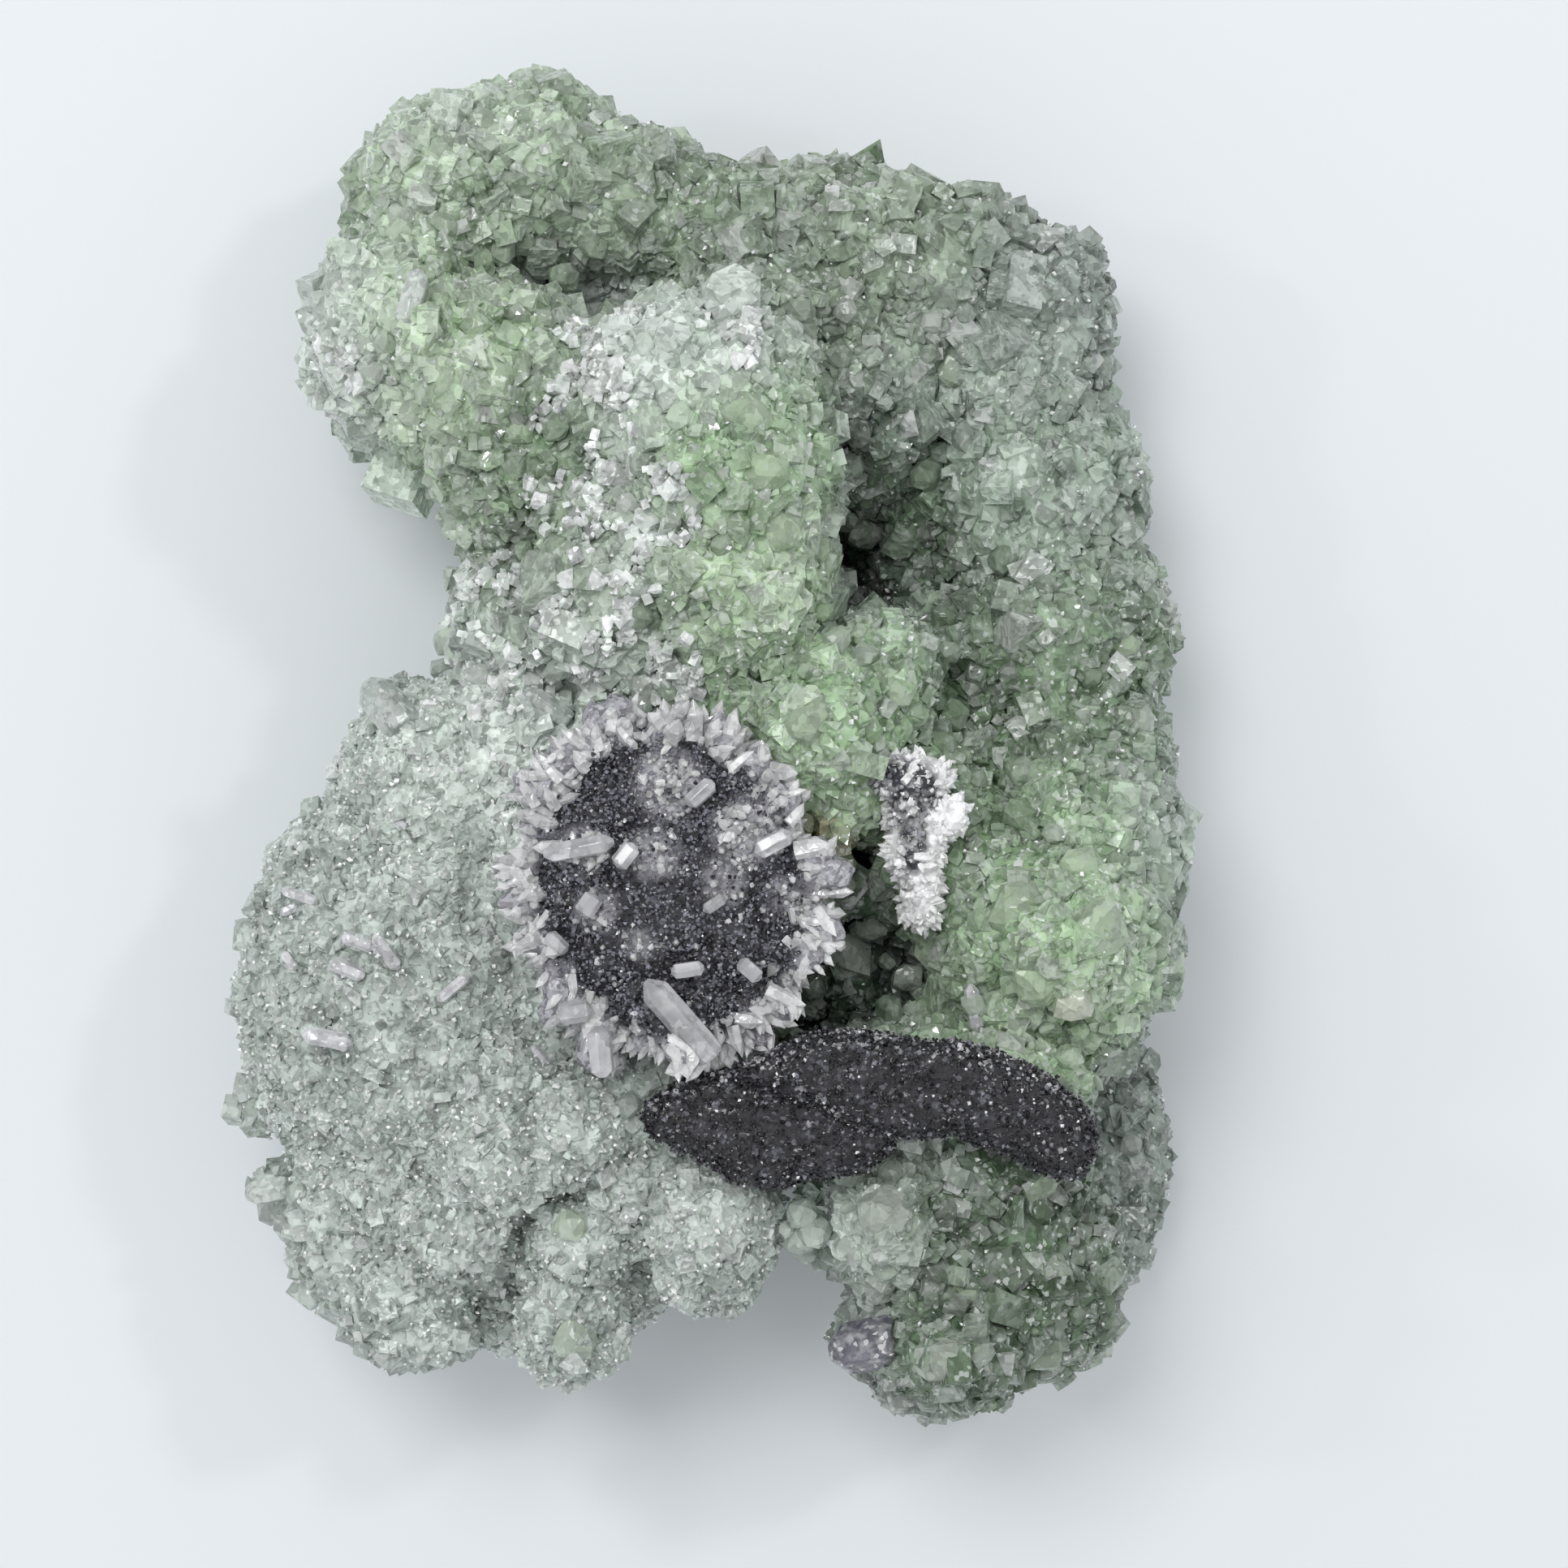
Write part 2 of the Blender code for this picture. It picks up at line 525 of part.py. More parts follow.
def build_blade(pocket):
    """The dark blade: two overlapping plates in one solid, clear of the rosette's pocket."""
    upper, lower = blade_plates()
    blade = add_object("druse_blade", upper, "dark_druse")
    add_boolean(blade, as_cutter(add_object("blade_under", lower)), "UNION")
    add_boolean(blade, pocket, "DIFFERENCE")


def blade_pocket():
    """The slots that the two plates sit in."""
    plates = enumerate(blade_plates(FIT_GAP))
    return [as_cutter(add_object(f"blade_pocket_{i}", bm)) for i, bm in plates]


def spur_skin(name, grow=0.0, material=None):
    """The spur's lumps grown into one skin, a clearance wider where it is a pocket."""
    balls = [
        ((p.x, p.y, p.z), (p.rx + grow, p.ry + grow, p.rz + grow), 3) for p in SPUR_PARTS
    ]
    skin = grow_together(balls_mesh(name, balls), SPUR_VOXEL)
    spur = add_mesh_object(name, skin, material)
    facets = spur.modifiers.new("facets", "DECIMATE")
    facets.ratio = SPUR_SHARE
    return spur


def build_spur():
    """The small grey spur with its milky knob."""
    spur_skin("quartz_spur", material="milky_quartz")


def spur_pocket():
    """The hollow that the spur sits in."""
    return as_cutter(spur_skin("spur_pocket", 1.6 * FIT_GAP))


def main():
    clear_scene()
    crust = build_crust()
    build_rosette()
    under_rosette = rosette_pocket()
    build_blade(under_rosette)
    build_spur()
    for pocket in (under_rosette, *blade_pocket(), spur_pocket()):
        add_boolean(crust, pocket, "DIFFERENCE")
    for obj in bpy.data.objects:
        obj.location -= Vector((*BOX_CENTRE, 0.0)) * MM


main()
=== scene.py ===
"""Looks of a sugar fluorite specimen: green glassy grains, a quartz rosette, a dark druse blade.

Lengths inside the classes are in millimetres; meshes are written in metres.
"""

import itertools
import json
import logging
import math
from dataclasses import dataclass, field, replace
from enum import Enum

import bmesh
import bpy
import numpy as np
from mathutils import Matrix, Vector
from mathutils.bvhtree import BVHTree

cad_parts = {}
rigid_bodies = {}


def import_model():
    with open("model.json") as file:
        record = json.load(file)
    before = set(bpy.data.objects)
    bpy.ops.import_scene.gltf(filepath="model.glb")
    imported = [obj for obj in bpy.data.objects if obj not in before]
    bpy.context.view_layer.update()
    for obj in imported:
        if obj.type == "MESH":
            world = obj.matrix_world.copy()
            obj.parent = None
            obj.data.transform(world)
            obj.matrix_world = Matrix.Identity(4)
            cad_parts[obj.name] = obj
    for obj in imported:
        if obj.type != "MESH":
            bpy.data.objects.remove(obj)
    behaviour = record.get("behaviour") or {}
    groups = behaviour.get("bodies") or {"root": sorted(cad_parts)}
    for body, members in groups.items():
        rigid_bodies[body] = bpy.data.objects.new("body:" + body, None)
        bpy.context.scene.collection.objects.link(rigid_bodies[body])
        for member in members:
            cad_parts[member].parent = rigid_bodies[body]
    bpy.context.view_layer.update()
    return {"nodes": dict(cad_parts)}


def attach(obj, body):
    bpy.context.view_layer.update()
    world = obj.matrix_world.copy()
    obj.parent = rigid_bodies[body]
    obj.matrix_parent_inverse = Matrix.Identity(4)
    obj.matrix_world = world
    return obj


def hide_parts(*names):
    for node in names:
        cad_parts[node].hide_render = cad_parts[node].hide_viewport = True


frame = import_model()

log = logging.getLogger("specimen")

MM = 0.001
SHIFT = np.array([0.716, -0.732, 0.0])  # plan middle of the specimen, from the grown lobes' own origin
OVERHEAD = 90.0  # height in millimetres from which a ray looks down on the specimen
EDGE_HEIGHT = 20.0  # height in millimetres of a crystal's end with nothing under it
TINY = 0.4  # size in millimetres of the painted glints and the painted shade in gaps, the finest that the render shows
SHAPES_A_FORM = 6  # slightly different shapes of each crystal form
CUBE_HALF = 0.72  # half side of a cut cube that is about a unit in radius
NEAR_WHITE = 0.85  # linear value of the palest crystals
FAR_WEIGHT = 0.02  # weight of the crust's general hue, which counts only far from every spot
CELL_PRIMES = (73856093, 19349663, 83492791)  # mix a grid cell's three numbers into one
JITTER_KEYS = (2654435, 40503, 69069)  # draw three offsets from that number
JITTER_STEPS = 1009  # how finely the offsets are graded


class Form(Enum):
    """Shapes that a grain can grow in."""

    BLOCK = "cube with cut corners"
    SHARD = "irregular crystal with a dozen flat faces"
    POINT = "six-sided crystal with one point"
    TWIN_POINT = "six-sided crystal with a point at each end"
    LUMP = "large rounded crystal with many faces"
    SPECK = "tiny eight-sided speck"


class Hue(Enum):
    """Colours of the minerals, as a heap of their crystals looks in white light."""

    CLEAR_GREEN = "#B0CDA2"
    SUGAR_GREEN = "#BED2B3"
    PALE_GREEN = "#D0E3C4"
    MOSS = "#A1B398"
    GREY_GREEN = "#B7C6B7"
    DEEP_GREEN = "#769768"
    SHADE_GREEN = "#415F40"
    ICE = "#E2EAE3"
    MIST = "#CBD3CE"
    SLATE = "#98A49C"
    OCHRE = "#CDBB86"
    MILK = "#ECEBEF"
    VIOLET_MILK = "#D2D0D8"
    SMOKE = "#AAA8AE"
    COAL = "#28272C"
    DUST = "#7E7E88"
    GLINT = "#FFFFFF"
    ROCK = "#8B867A"
    PALE_ROCK = "#B3AEA2"
    FLOOR = "#ECF0F3"
    SKY = "#F2F4F6"


@dataclass(frozen=True)
class Tint:
    """A spot of the crust whose hue spreads a little way round it: mostly the crust's own colour, but
    painted shade or painted light where marked below.

    Attributes:
        name: What part of the crust it is, for the reader.
        at: Its middle, in the lobes' own millimetres.
        reach: How far its hue spreads, in millimetres.
        hue: Its hue.
        pull: How much it counts against its neighbours.
    """

    name: str
    at: tuple[float, float, float]
    reach: float
    hue: Hue
    pull: float = 1.0


CRUST_TINTS = (
    Tint("crown", (-20, 52, 30), 10, Hue.SUGAR_GREEN),
    Tint("crown inside", (-16, 47, 30), 5, Hue.DEEP_GREEN, 0.7),
    Tint("crown edge", (-22, 55, 26), 5, Hue.ICE),
    Tint("crown middle", (-5, 48, 30), 6.5, Hue.MOSS, 3.0),
    # Painted shade: darker in the crown's hollow
    Tint("crown hollow", (-3, 47, 28), 5, Hue.DEEP_GREEN, 1.5),
    Tint("ridge", (12, 46, 29), 10, Hue.MOSS, 1.2),
    # Painted shade: darker in the ridge's hollow
    Tint("ridge hollow", (4, 44, 27), 5, Hue.SLATE, 0.7),
    Tint("ridge corner", (30, 40, 26), 8, Hue.SLATE, 0.6),
    # Painted light: the deep hollow painted paler
    Tint("upper hollow", (-10, 42, 16), 7, Hue.MIST, 3.0),
    Tint("shoulder", (-22, 33, 40), 8, Hue.PALE_GREEN),
    # Painted shade: darker in the shoulder's crease
    Tint("shoulder crease", (-15, 27, 36), 5, Hue.DEEP_GREEN, 3.0),
    Tint("shoulder edge", (-32, 36, 30), 6, Hue.ICE),
    Tint("column", (2, 27, 46), 7, Hue.CLEAR_GREEN),
    Tint("column top", (-2, 36, 44), 5.5, Hue.ICE, 5.0),
    Tint("column low", (3, 15, 46), 6, Hue.PALE_GREEN, 1.0),
    Tint("column side", (-11, 16, 40), 7, Hue.MOSS),
    Tint("band high", (-9, 31, 44), 3.6, Hue.ICE, 2.0),
    Tint("band middle", (-9, 24, 44), 3.4, Hue.ICE, 1.0),
    Tint("band low", (-7.5, 16, 43), 3.6, Hue.ICE, 0.7),
    Tint("band foot", (-11, 9.5, 38), 4.2, Hue.ICE, 0.8),
    # Painted shade: dark in the groove, at its head and beside it
    Tint("groove", (13, 18, 14), 7, Hue.SHADE_GREEN, 3.0),
    Tint("groove head", (12, 29, 28), 4, Hue.SHADE_GREEN, 1.2),
    Tint("groove side", (18, 21, 22), 5, Hue.DEEP_GREEN, 1.6),
    Tint("wall", (27, 25, 27), 11, Hue.GREY_GREEN),
    Tint("wall low", (30, 9, 28), 9, Hue.DEEP_GREEN, 0.5),
    Tint("centre", (9, 2, 45), 7, Hue.CLEAR_GREEN, 1.6),
    Tint("rust", (9, -7, 36), 2.2, Hue.OCHRE, 1.5),
    Tint("knob", (28, -15, 42), 9, Hue.CLEAR_GREEN, 1.0),
    Tint("knob crest", (30, -21, 42), 5, Hue.PALE_GREEN, 1.4),
    Tint("knob edge", (40, -10, 30), 6, Hue.GREY_GREEN),
    Tint("knob side", (22, -9, 38), 5, Hue.DEEP_GREEN, 0.8),
    # Painted shade: dark in the recess
    Tint("recess", (13, -19, 20), 7, Hue.SHADE_GREEN, 2.5),
    Tint("pillow", (-27, -20, 38), 16, Hue.MIST, 1.5),
    Tint("pillow middle", (-29, -20, 42), 11, Hue.SLATE, 0.6),
    Tint("pillow top", (-22, -3, 36), 8, Hue.ICE, 2.4),
    Tint("pillow low", (-22, -42, 30), 12, Hue.MIST, 1.4),
    Tint("heel", (-1, -42, 42), 6, Hue.MIST, 1.4),
    Tint("leg", (24, -43, 38), 8, Hue.DEEP_GREEN, 2.0),
    # Painted shade: the next two darken the leg under the blade
    Tint("leg top", (25, -36, 38), 4, Hue.SHADE_GREEN, 1.5),
    Tint("leg inside", (25, -44, 38), 7, Hue.SHADE_GREEN, 2.6),
    # Painted light: the leg painted paler where the blade shades it
    Tint("leg bright", (14, -40, 34), 6, Hue.ICE, 6.0),
    Tint("leg corner", (14, -53, 28), 5, Hue.SLATE, 1.5),
    Tint("right plate", (36, -36, 12), 8, Hue.SLATE, 1.5),
)


def linear(hue: Hue) -> tuple[float, float, float]:
    """Turns a hue's sRGB hex value into linear values.

    Args:
        hue: The hue.

    Returns:
        Red, green and blue, each 0 to 1.
    """
    parts = [int(hue.value[i : i + 2], 16) / 255 for i in (1, 3, 5)]
    return tuple(c / 12.92 if c <= 0.04045 else ((c + 0.055) / 1.055) ** 2.4 for c in parts)


def add_node(
    tree: bpy.types.NodeTree,
    kind: str,
    settings: dict[str | int, object] | None = None,
    feeds: dict[str | int, bpy.types.NodeSocket] | None = None,
) -> bpy.types.Node:
    """Adds a shader node with its settings and links.

    Args:
        tree: Node tree of the material.
        kind: Node type, such as "ShaderNodeTexNoise".
        settings: Values by socket name or number, or by the name of an option.
        feeds: Output sockets of other nodes, by the socket that each goes into.

    Returns:
        The new node.
    """
    node = tree.nodes.new(kind)
    for key, value in (settings or {}).items():
        if isinstance(key, int) or key in node.inputs:
            node.inputs[key].default_value = value
        else:
            setattr(node, key, value)
    for key, source in (feeds or {}).items():
        tree.links.new(source, node.inputs[key])
    return node


@dataclass(frozen=True)
class CrystalFinish:
    """Glassy mineral: its clearness, its small crystals' tones, milky clouds, painted glints on its tiniest
    faces, painted shade in its tiniest gaps, and facets.

    Attributes:
        name: Material name.
        ior: Refractive index.
        roughness: Roughness of the crystal faces.
        clearness: Share of light that goes through.
        cell: Size in millimetres of the small crystals that a grain is made of.
        contrast: How unequal their tones are.
        facet: Depth in millimetres of their facets.
        cloud: Size in millimetres of the milky clouds.
        milk: Hue of the clouds and of the painted glints.
        milkiness: How far the clouds whiten the colour.
        sparkle: How white the tiniest faces are painted, as painted glints.
        painted_gap_shade: How dark the tiniest gaps are painted, as painted shade.
    """

    name: str
    ior: float
    roughness: float
    clearness: float
    cell: float = 0.8
    contrast: float = 0.3
    facet: float = 0.25
    cloud: float = 1.6
    milk: Hue = Hue.ICE
    milkiness: float = 0.4
    sparkle: float = 0.7
    painted_gap_shade: float = 0.2

    def build(self) -> bpy.types.Material:
        """Makes the material, or gives back the one already made.

        Returns:
            A node material that reads the crystals' own colour.
        """
        made = bpy.data.materials.get(self.name)
        if made:
            return made
        material = bpy.data.materials.new(self.name)
        material.use_nodes = True
        tree = material.node_tree
        shader = tree.nodes["Principled BSDF"]
        shader.inputs["IOR"].default_value = self.ior
        shader.inputs["Roughness"].default_value = self.roughness
        shader.inputs["Transmission Weight"].default_value = self.clearness
        tint = add_node(tree, "ShaderNodeAttribute", {"attribute_name": "tint"}).outputs["Color"]
        place = add_node(tree, "ShaderNodeTexCoord").outputs["Object"]
        cells = add_node(
            tree,
            "ShaderNodeTexVoronoi",
            {"distance": "CHEBYCHEV", "Scale": 1 / (self.cell * MM)},
            {"Vector": place},
        )
        tone = add_node(
            tree,
            "ShaderNodeMapRange",
            {"From Min": 0.15, "From Max": 0.85, "To Min": 1 - self.contrast, "To Max": 1 + self.contrast},
            {"Value": cells.outputs["Color"]},
        )
        toned = add_node(
            tree,
            "ShaderNodeMix",
            {"data_type": "RGBA", "blend_type": "MULTIPLY", 0: 1.0},
            {6: tint, 7: tone.outputs["Result"]},
        )
        clouds = add_node(
            tree, "ShaderNodeTexNoise", {"Scale": 1 / (self.cloud * MM), "Detail": 4.0}, {"Vector": place}
        )
        tiny = add_node(tree, "ShaderNodeTexVoronoi", {"Scale": 1 / (TINY * MM)}, {"Vector": place})
        colour = toned.outputs[2]
        # Milky clouds, then painted shade that darkens the tiniest gaps and painted glints that whiten the
        # tiniest faces
        for source, low, high, most, hue in (
            (clouds.outputs["Fac"], 0.48, 0.72, self.milkiness, self.milk),
            (tiny.outputs["Color"], 0.2, 0.14, self.painted_gap_shade, Hue.SHADE_GREEN),
            (tiny.outputs["Color"], 0.78, 0.84, self.sparkle, self.milk),
        ):
            share = add_node(
                tree,
                "ShaderNodeMapRange",
                {"From Min": low, "From Max": high, "To Max": most},
                {"Value": source},
            )
            mixed = add_node(
                tree,
                "ShaderNodeMix",
                {"data_type": "RGBA", 7: (*linear(hue), 1.0)},
                {0: share.outputs["Result"], 6: colour},
            )
            colour = mixed.outputs[2]
        tree.links.new(colour, shader.inputs["Base Color"])
        bump = add_node(
            tree, "ShaderNodeBump", {"Distance": self.facet * MM}, {"Height": cells.outputs["Distance"]}
        )
        tree.links.new(bump.outputs["Normal"], shader.inputs["Normal"])
        return material


FLUORITE_IOR = 1.434
QUARTZ_IOR = 1.544

# Misty green fluorite of the grains: sugary, it glows a little and glints on its small cube faces, with
# painted glints and painted shade at the finest scale
FLUORITE_GRAIN = CrystalFinish("misty_fluorite", FLUORITE_IOR, 0.1, 0.27, painted_gap_shade=0.35)
# Finer, greyer fluorite of the pillow, dusted with quartz
FLUORITE_FINE = CrystalFinish(
    "dusted_fluorite", FLUORITE_IOR, 0.1, 0.24, cell=0.55, contrast=0.35, facet=0.18
)
# Clear fluorite of the larger crystals: light goes some way in before clouds stop it
FLUORITE_CLEAR = CrystalFinish(
    "clear_fluorite", FLUORITE_IOR, 0.07, 0.45, cell=1.1, contrast=0.25, sparkle=0.4, painted_gap_shade=0.1
)
# Packed sugary fluorite under the grains, cloudier and rougher, which gives the body its colour
FLUORITE_BODY = CrystalFinish("packed_fluorite", FLUORITE_IOR, 0.4, 0.0, cell=0.9, milkiness=0.3)
# Frosted quartz of the fringe, the pale patches, the laid crystals and the blade's crest, with white flaws
# and painted glints
QUARTZ = CrystalFinish(
    "frosted_quartz", QUARTZ_IOR, 0.06, 0.35, cell=0.7, contrast=0.25, facet=0.1, cloud=1.0,
    milk=Hue.GLINT, milkiness=0.6, sparkle=0.8, painted_gap_shade=0.0,
)
# Snowy quartz, opaque with tiny flaws and painted glints: the band's strands, the fine white specks and the
# growth by the rosette
QUARTZ_SNOW = replace(QUARTZ, name="snowy_quartz", roughness=0.15, clearness=0.0)
# Clear quartz of the loose-lying crystals: the dark druse shows through between milky clouds
QUARTZ_CLEAR = CrystalFinish(
    "clear_quartz", QUARTZ_IOR, 0.03, 0.5, cell=1.6, contrast=0.3, facet=0.05, cloud=1.2,
    milk=Hue.GLINT, milkiness=0.6, painted_gap_shade=0.0,
)
# Dark fine druse, almost black with tiny grey painted glints
DRUSE = CrystalFinish(
    "dark_quartz_druse", QUARTZ_IOR, 0.22, 0.0, cell=0.45, contrast=0.5, facet=0.2,
    milk=Hue.DUST, milkiness=0.15, sparkle=0.5, painted_gap_shade=0.0,
)


def hull_of(points: np.ndarray) -> tuple[np.ndarray, np.ndarray]:
    """Closes a cloud of points into its convex hull.

    Args:
        points: Corner points, one a row.

    Returns:
        Corners and triangles of the hull.
    """
    bm = bmesh.new()
    for point in points:
        bm.verts.new(point)
    made = bmesh.ops.convex_hull(bm, input=bm.verts)
    spare = [g for g in made["geom_interior"] if isinstance(g, bmesh.types.BMVert)]
    bmesh.ops.delete(bm, geom=spare, context="VERTS")
    bmesh.ops.recalc_face_normals(bm, faces=bm.faces)
    bm.verts.index_update()
    corners = np.array([v.co[:] for v in bm.verts])
    triangles = np.array([[v.index for v in f.verts] for f in bm.faces])
    bm.free()
    return corners, triangles


def form_shapes(form: Form, rng: np.random.Generator) -> list[tuple[np.ndarray, np.ndarray]]:
    """Makes a few slightly different shapes of one form, each about a unit in radius.

    Args:
        form: The crystal form.
        rng: Source of the small irregularities.

    Returns:
        Corners and triangles of each shape.
    """
    shapes = []
    for _ in range(SHAPES_A_FORM):
        if form is Form.BLOCK:
            corners = CUBE_HALF * np.array(list(itertools.product((-1, 1), repeat=3)))
            cut = rng.choice(8, size=rng.integers(1, 3), replace=False)
            points = [corner for i, corner in enumerate(corners) if i not in cut]
            for i in cut:
                depth = rng.uniform(0.3, 0.8)
                points += [corners[i] * (1 - depth * axis) for axis in np.eye(3)]
            points = np.array(points) * rng.uniform(0.8, 1.2, 3)
        elif form is Form.SHARD:
            points = random_directions(rng, int(rng.integers(8, 11))) * rng.uniform(0.75, 1.15, (1, 3))
            points *= rng.uniform(0.75, 1.1, (len(points), 1))
        elif form is Form.LUMP:
            steps = np.arange(int(rng.integers(22, 30)))
            height = 1 - 2 * (steps + 0.5) / len(steps)
            across = np.sqrt(1 - height**2)
            turn = steps * math.pi * (3 - math.sqrt(5))  # the golden angle spreads them evenly
            points = np.stack([across * np.cos(turn), across * np.sin(turn), height], 1)
            points += rng.normal(0, 0.08, points.shape)
        elif form is Form.SPECK:
            points = np.array([(1, 0, 0), (-1, 0, 0), (0, 1, 0), (0, -1, 0), (0, 0, 1), (0, 0, -1)], float)
            points += rng.normal(0, 0.15, points.shape)
        else:
            angles = np.arange(6) * math.pi / 3
            wide = rng.uniform(0.85, 1.1, 6)[:, None]
            ring = np.stack([np.cos(angles), np.sin(angles), np.zeros(6)], 1) * wide
            tip = np.array([[rng.uniform(-0.3, 0.3), rng.uniform(-0.3, 0.3), 1.0]])
            low = ring * 0.95 + [0, 0, -1.0] if form is Form.POINT else ring + [0, 0, -0.55]
            foot = [] if form is Form.POINT else [tip * [1, 1, -1]]
            points = np.concatenate([low, ring * 0.85 + [0, 0, 0.3], tip, *foot])
        shapes.append(hull_of(points))
    return shapes


def turned_to(directions: np.ndarray, spins: np.ndarray) -> np.ndarray:
    """Rotation matrices that take +Z to each direction after a spin about it.

    Args:
        directions: Unit vectors, one a row.
        spins: Angles in radians.

    Returns:
        One 3 by 3 matrix a row.
    """
    aside = np.where(np.abs(directions[:, 2:3]) < 0.9, [[0.0, 0.0, 1.0]], [[1.0, 0.0, 0.0]])
    u = np.cross(aside, directions)
    u /= np.linalg.norm(u, axis=1, keepdims=True)
    v = np.cross(directions, u)
    cos, sin = np.cos(spins)[:, None], np.sin(spins)[:, None]
    return np.stack([u * cos + v * sin, v * cos - u * sin, directions], 2)


def random_directions(rng: np.random.Generator, count: int) -> np.ndarray:
    """Unit vectors spread evenly over all directions.

    Args:
        rng: Source of the directions.
        count: How many.

    Returns:
        One unit vector a row.
    """
    raw = rng.normal(size=(count, 3))
    return raw / np.linalg.norm(raw, axis=1, keepdims=True)


@dataclass
class Grains:
    """Crystals of one form, to be joined into one mesh.

    Attributes:
        form: Crystal form.
        places: Middle of each crystal, in millimetres.
        axes: Direction of each crystal's long axis.
        sizes: Half width, half width and half length of each crystal, in millimetres.
        tints: Linear colour of each crystal.
        seed: Seed of the shapes and spins.
    """

    form: Form
    places: np.ndarray
    axes: np.ndarray
    sizes: np.ndarray
    tints: np.ndarray
    seed: int

    def arrays(self) -> tuple[np.ndarray, np.ndarray, np.ndarray]:
        """Corners in millimetres, triangles and corner colours of all crystals together.

        Returns:
            The three arrays.
        """
        rng = np.random.default_rng(self.seed)
        shapes = form_shapes(self.form, rng)
        which = rng.integers(0, len(shapes), len(self.places))
        turns = turned_to(self.axes, rng.uniform(0, 2 * math.pi, len(self.places)))
        corners, triangles, tints, count = [], [], [], 0
        for i, (unit, faces) in enumerate(shapes):
            mine = which == i
            if not mine.any():
                continue
            scaled = unit[None] * self.sizes[mine][:, None, :]
            moved = np.einsum("kij,knj->kni", turns[mine], scaled) + self.places[mine][:, None, :]
            number = len(moved)
            offsets = count + np.arange(number)[:, None, None] * len(unit)
            corners.append(moved.reshape(-1, 3))
            triangles.append((faces[None] + offsets).reshape(-1, 3))
            tints.append(np.repeat(self.tints[mine], len(unit), 0))
            count += number * len(unit)
        return np.concatenate(corners), np.concatenate(triangles), np.concatenate(tints)


def piece_from(name: str, parts: list[Grains], finish: CrystalFinish) -> None:
    """Joins several sets of crystals into one piece that belongs to the specimen.

    Args:
        name: Name of the piece.
        parts: Sets of crystals.
        finish: Its finish.
    """
    corners, triangles, tints, count = [], [], [], 0
    for part in parts:
        if not len(part.places):
            continue
        c, t, k = part.arrays()
        corners.append(c * MM)
        triangles.append(t + count)
        tints.append(k)
        count += len(c)
    corners, triangles, tints = (np.concatenate(a) for a in (corners, triangles, tints))
    mesh = bpy.data.meshes.new(name)
    mesh.vertices.add(len(corners))
    mesh.vertices.foreach_set("co", corners.astype(np.float32).ravel())
    mesh.loops.add(triangles.size)
    mesh.loops.foreach_set("vertex_index", triangles.astype(np.int32).ravel())
    mesh.polygons.add(len(triangles))
    mesh.polygons.foreach_set("loop_start", np.arange(0, triangles.size, 3, dtype=np.int32))
    mesh.update(calc_edges=True)
    mesh.shade_flat()
    write_tint(mesh, tints)
    obj = bpy.data.objects.new(name, mesh)
    bpy.context.scene.collection.objects.link(obj)
    mesh.materials.append(finish.build())
    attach(obj, "root")
    log.info("%s: %d crystals, %d triangles", name, sum(len(p.places) for p in parts), len(triangles))


def write_tint(mesh: bpy.types.Mesh, tints: np.ndarray) -> None:
    """Stores a linear colour on each corner point of a mesh.

    Args:
        mesh: The mesh.
        tints: Red, green and blue, one row a vertex.
    """
    layer = mesh.color_attributes.new("tint", "FLOAT_COLOR", "POINT")
    full = np.concatenate([np.clip(tints, 0, 1), np.ones((len(tints), 1))], 1)
    layer.data.foreach_set("color", full.astype(np.float32).ravel())


def plain(hue: Hue, count: int) -> np.ndarray:
    """One hue's linear colour in each of so many rows."""
    return np.tile(linear(hue), (count, 1))


def crust_colour(points: np.ndarray) -> np.ndarray:
    """Colour of the crust where it is: each tint counts by how near it is.

    Args:
        points: Points in millimetres.

    Returns:
        Linear colours, one a row.
    """
    points = points - SHIFT
    total = plain(Hue.GREY_GREEN, len(points)) * FAR_WEIGHT
    weight = np.full((len(points), 1), FAR_WEIGHT)
    for tint in CRUST_TINTS:
        away = np.linalg.norm((points - tint.at) * [1, 1, 0.8], axis=1, keepdims=True)
        near = tint.pull * np.exp(-((away / tint.reach) ** 2))
        total += near * linear(tint.hue)
        weight += near
    return total / weight


def varied(
    colours: np.ndarray, rng: np.random.Generator, spread: float, pale: float = 5.0
) -> np.ndarray:
    """Makes each crystal a little lighter, darker or whiter than its neighbours.

    Args:
        colours: Linear colours, one a row.
        rng: Source of the variation.
        spread: How far the brightness varies.
        pale: How seldom a crystal is nearly white.

    Returns:
        The varied colours.
    """
    light = np.exp(rng.normal(0, spread, (len(colours), 1)))
    white = rng.beta(1.0, pale, (len(colours), 1))
    return np.clip(colours * light * (1 - white) + white * NEAR_WHITE, 0, 1)


def tilted(normals: np.ndarray, rng: np.random.Generator, spread: float) -> np.ndarray:
    """Tilts directions at random.

    Args:
        normals: Directions, one a row.
        rng: Source of the tilts.
        spread: How far they tilt.

    Returns:
        Unit vectors.
    """
    axes = normals + rng.normal(0, spread, normals.shape)
    return axes / np.linalg.norm(axes, axis=1, keepdims=True)


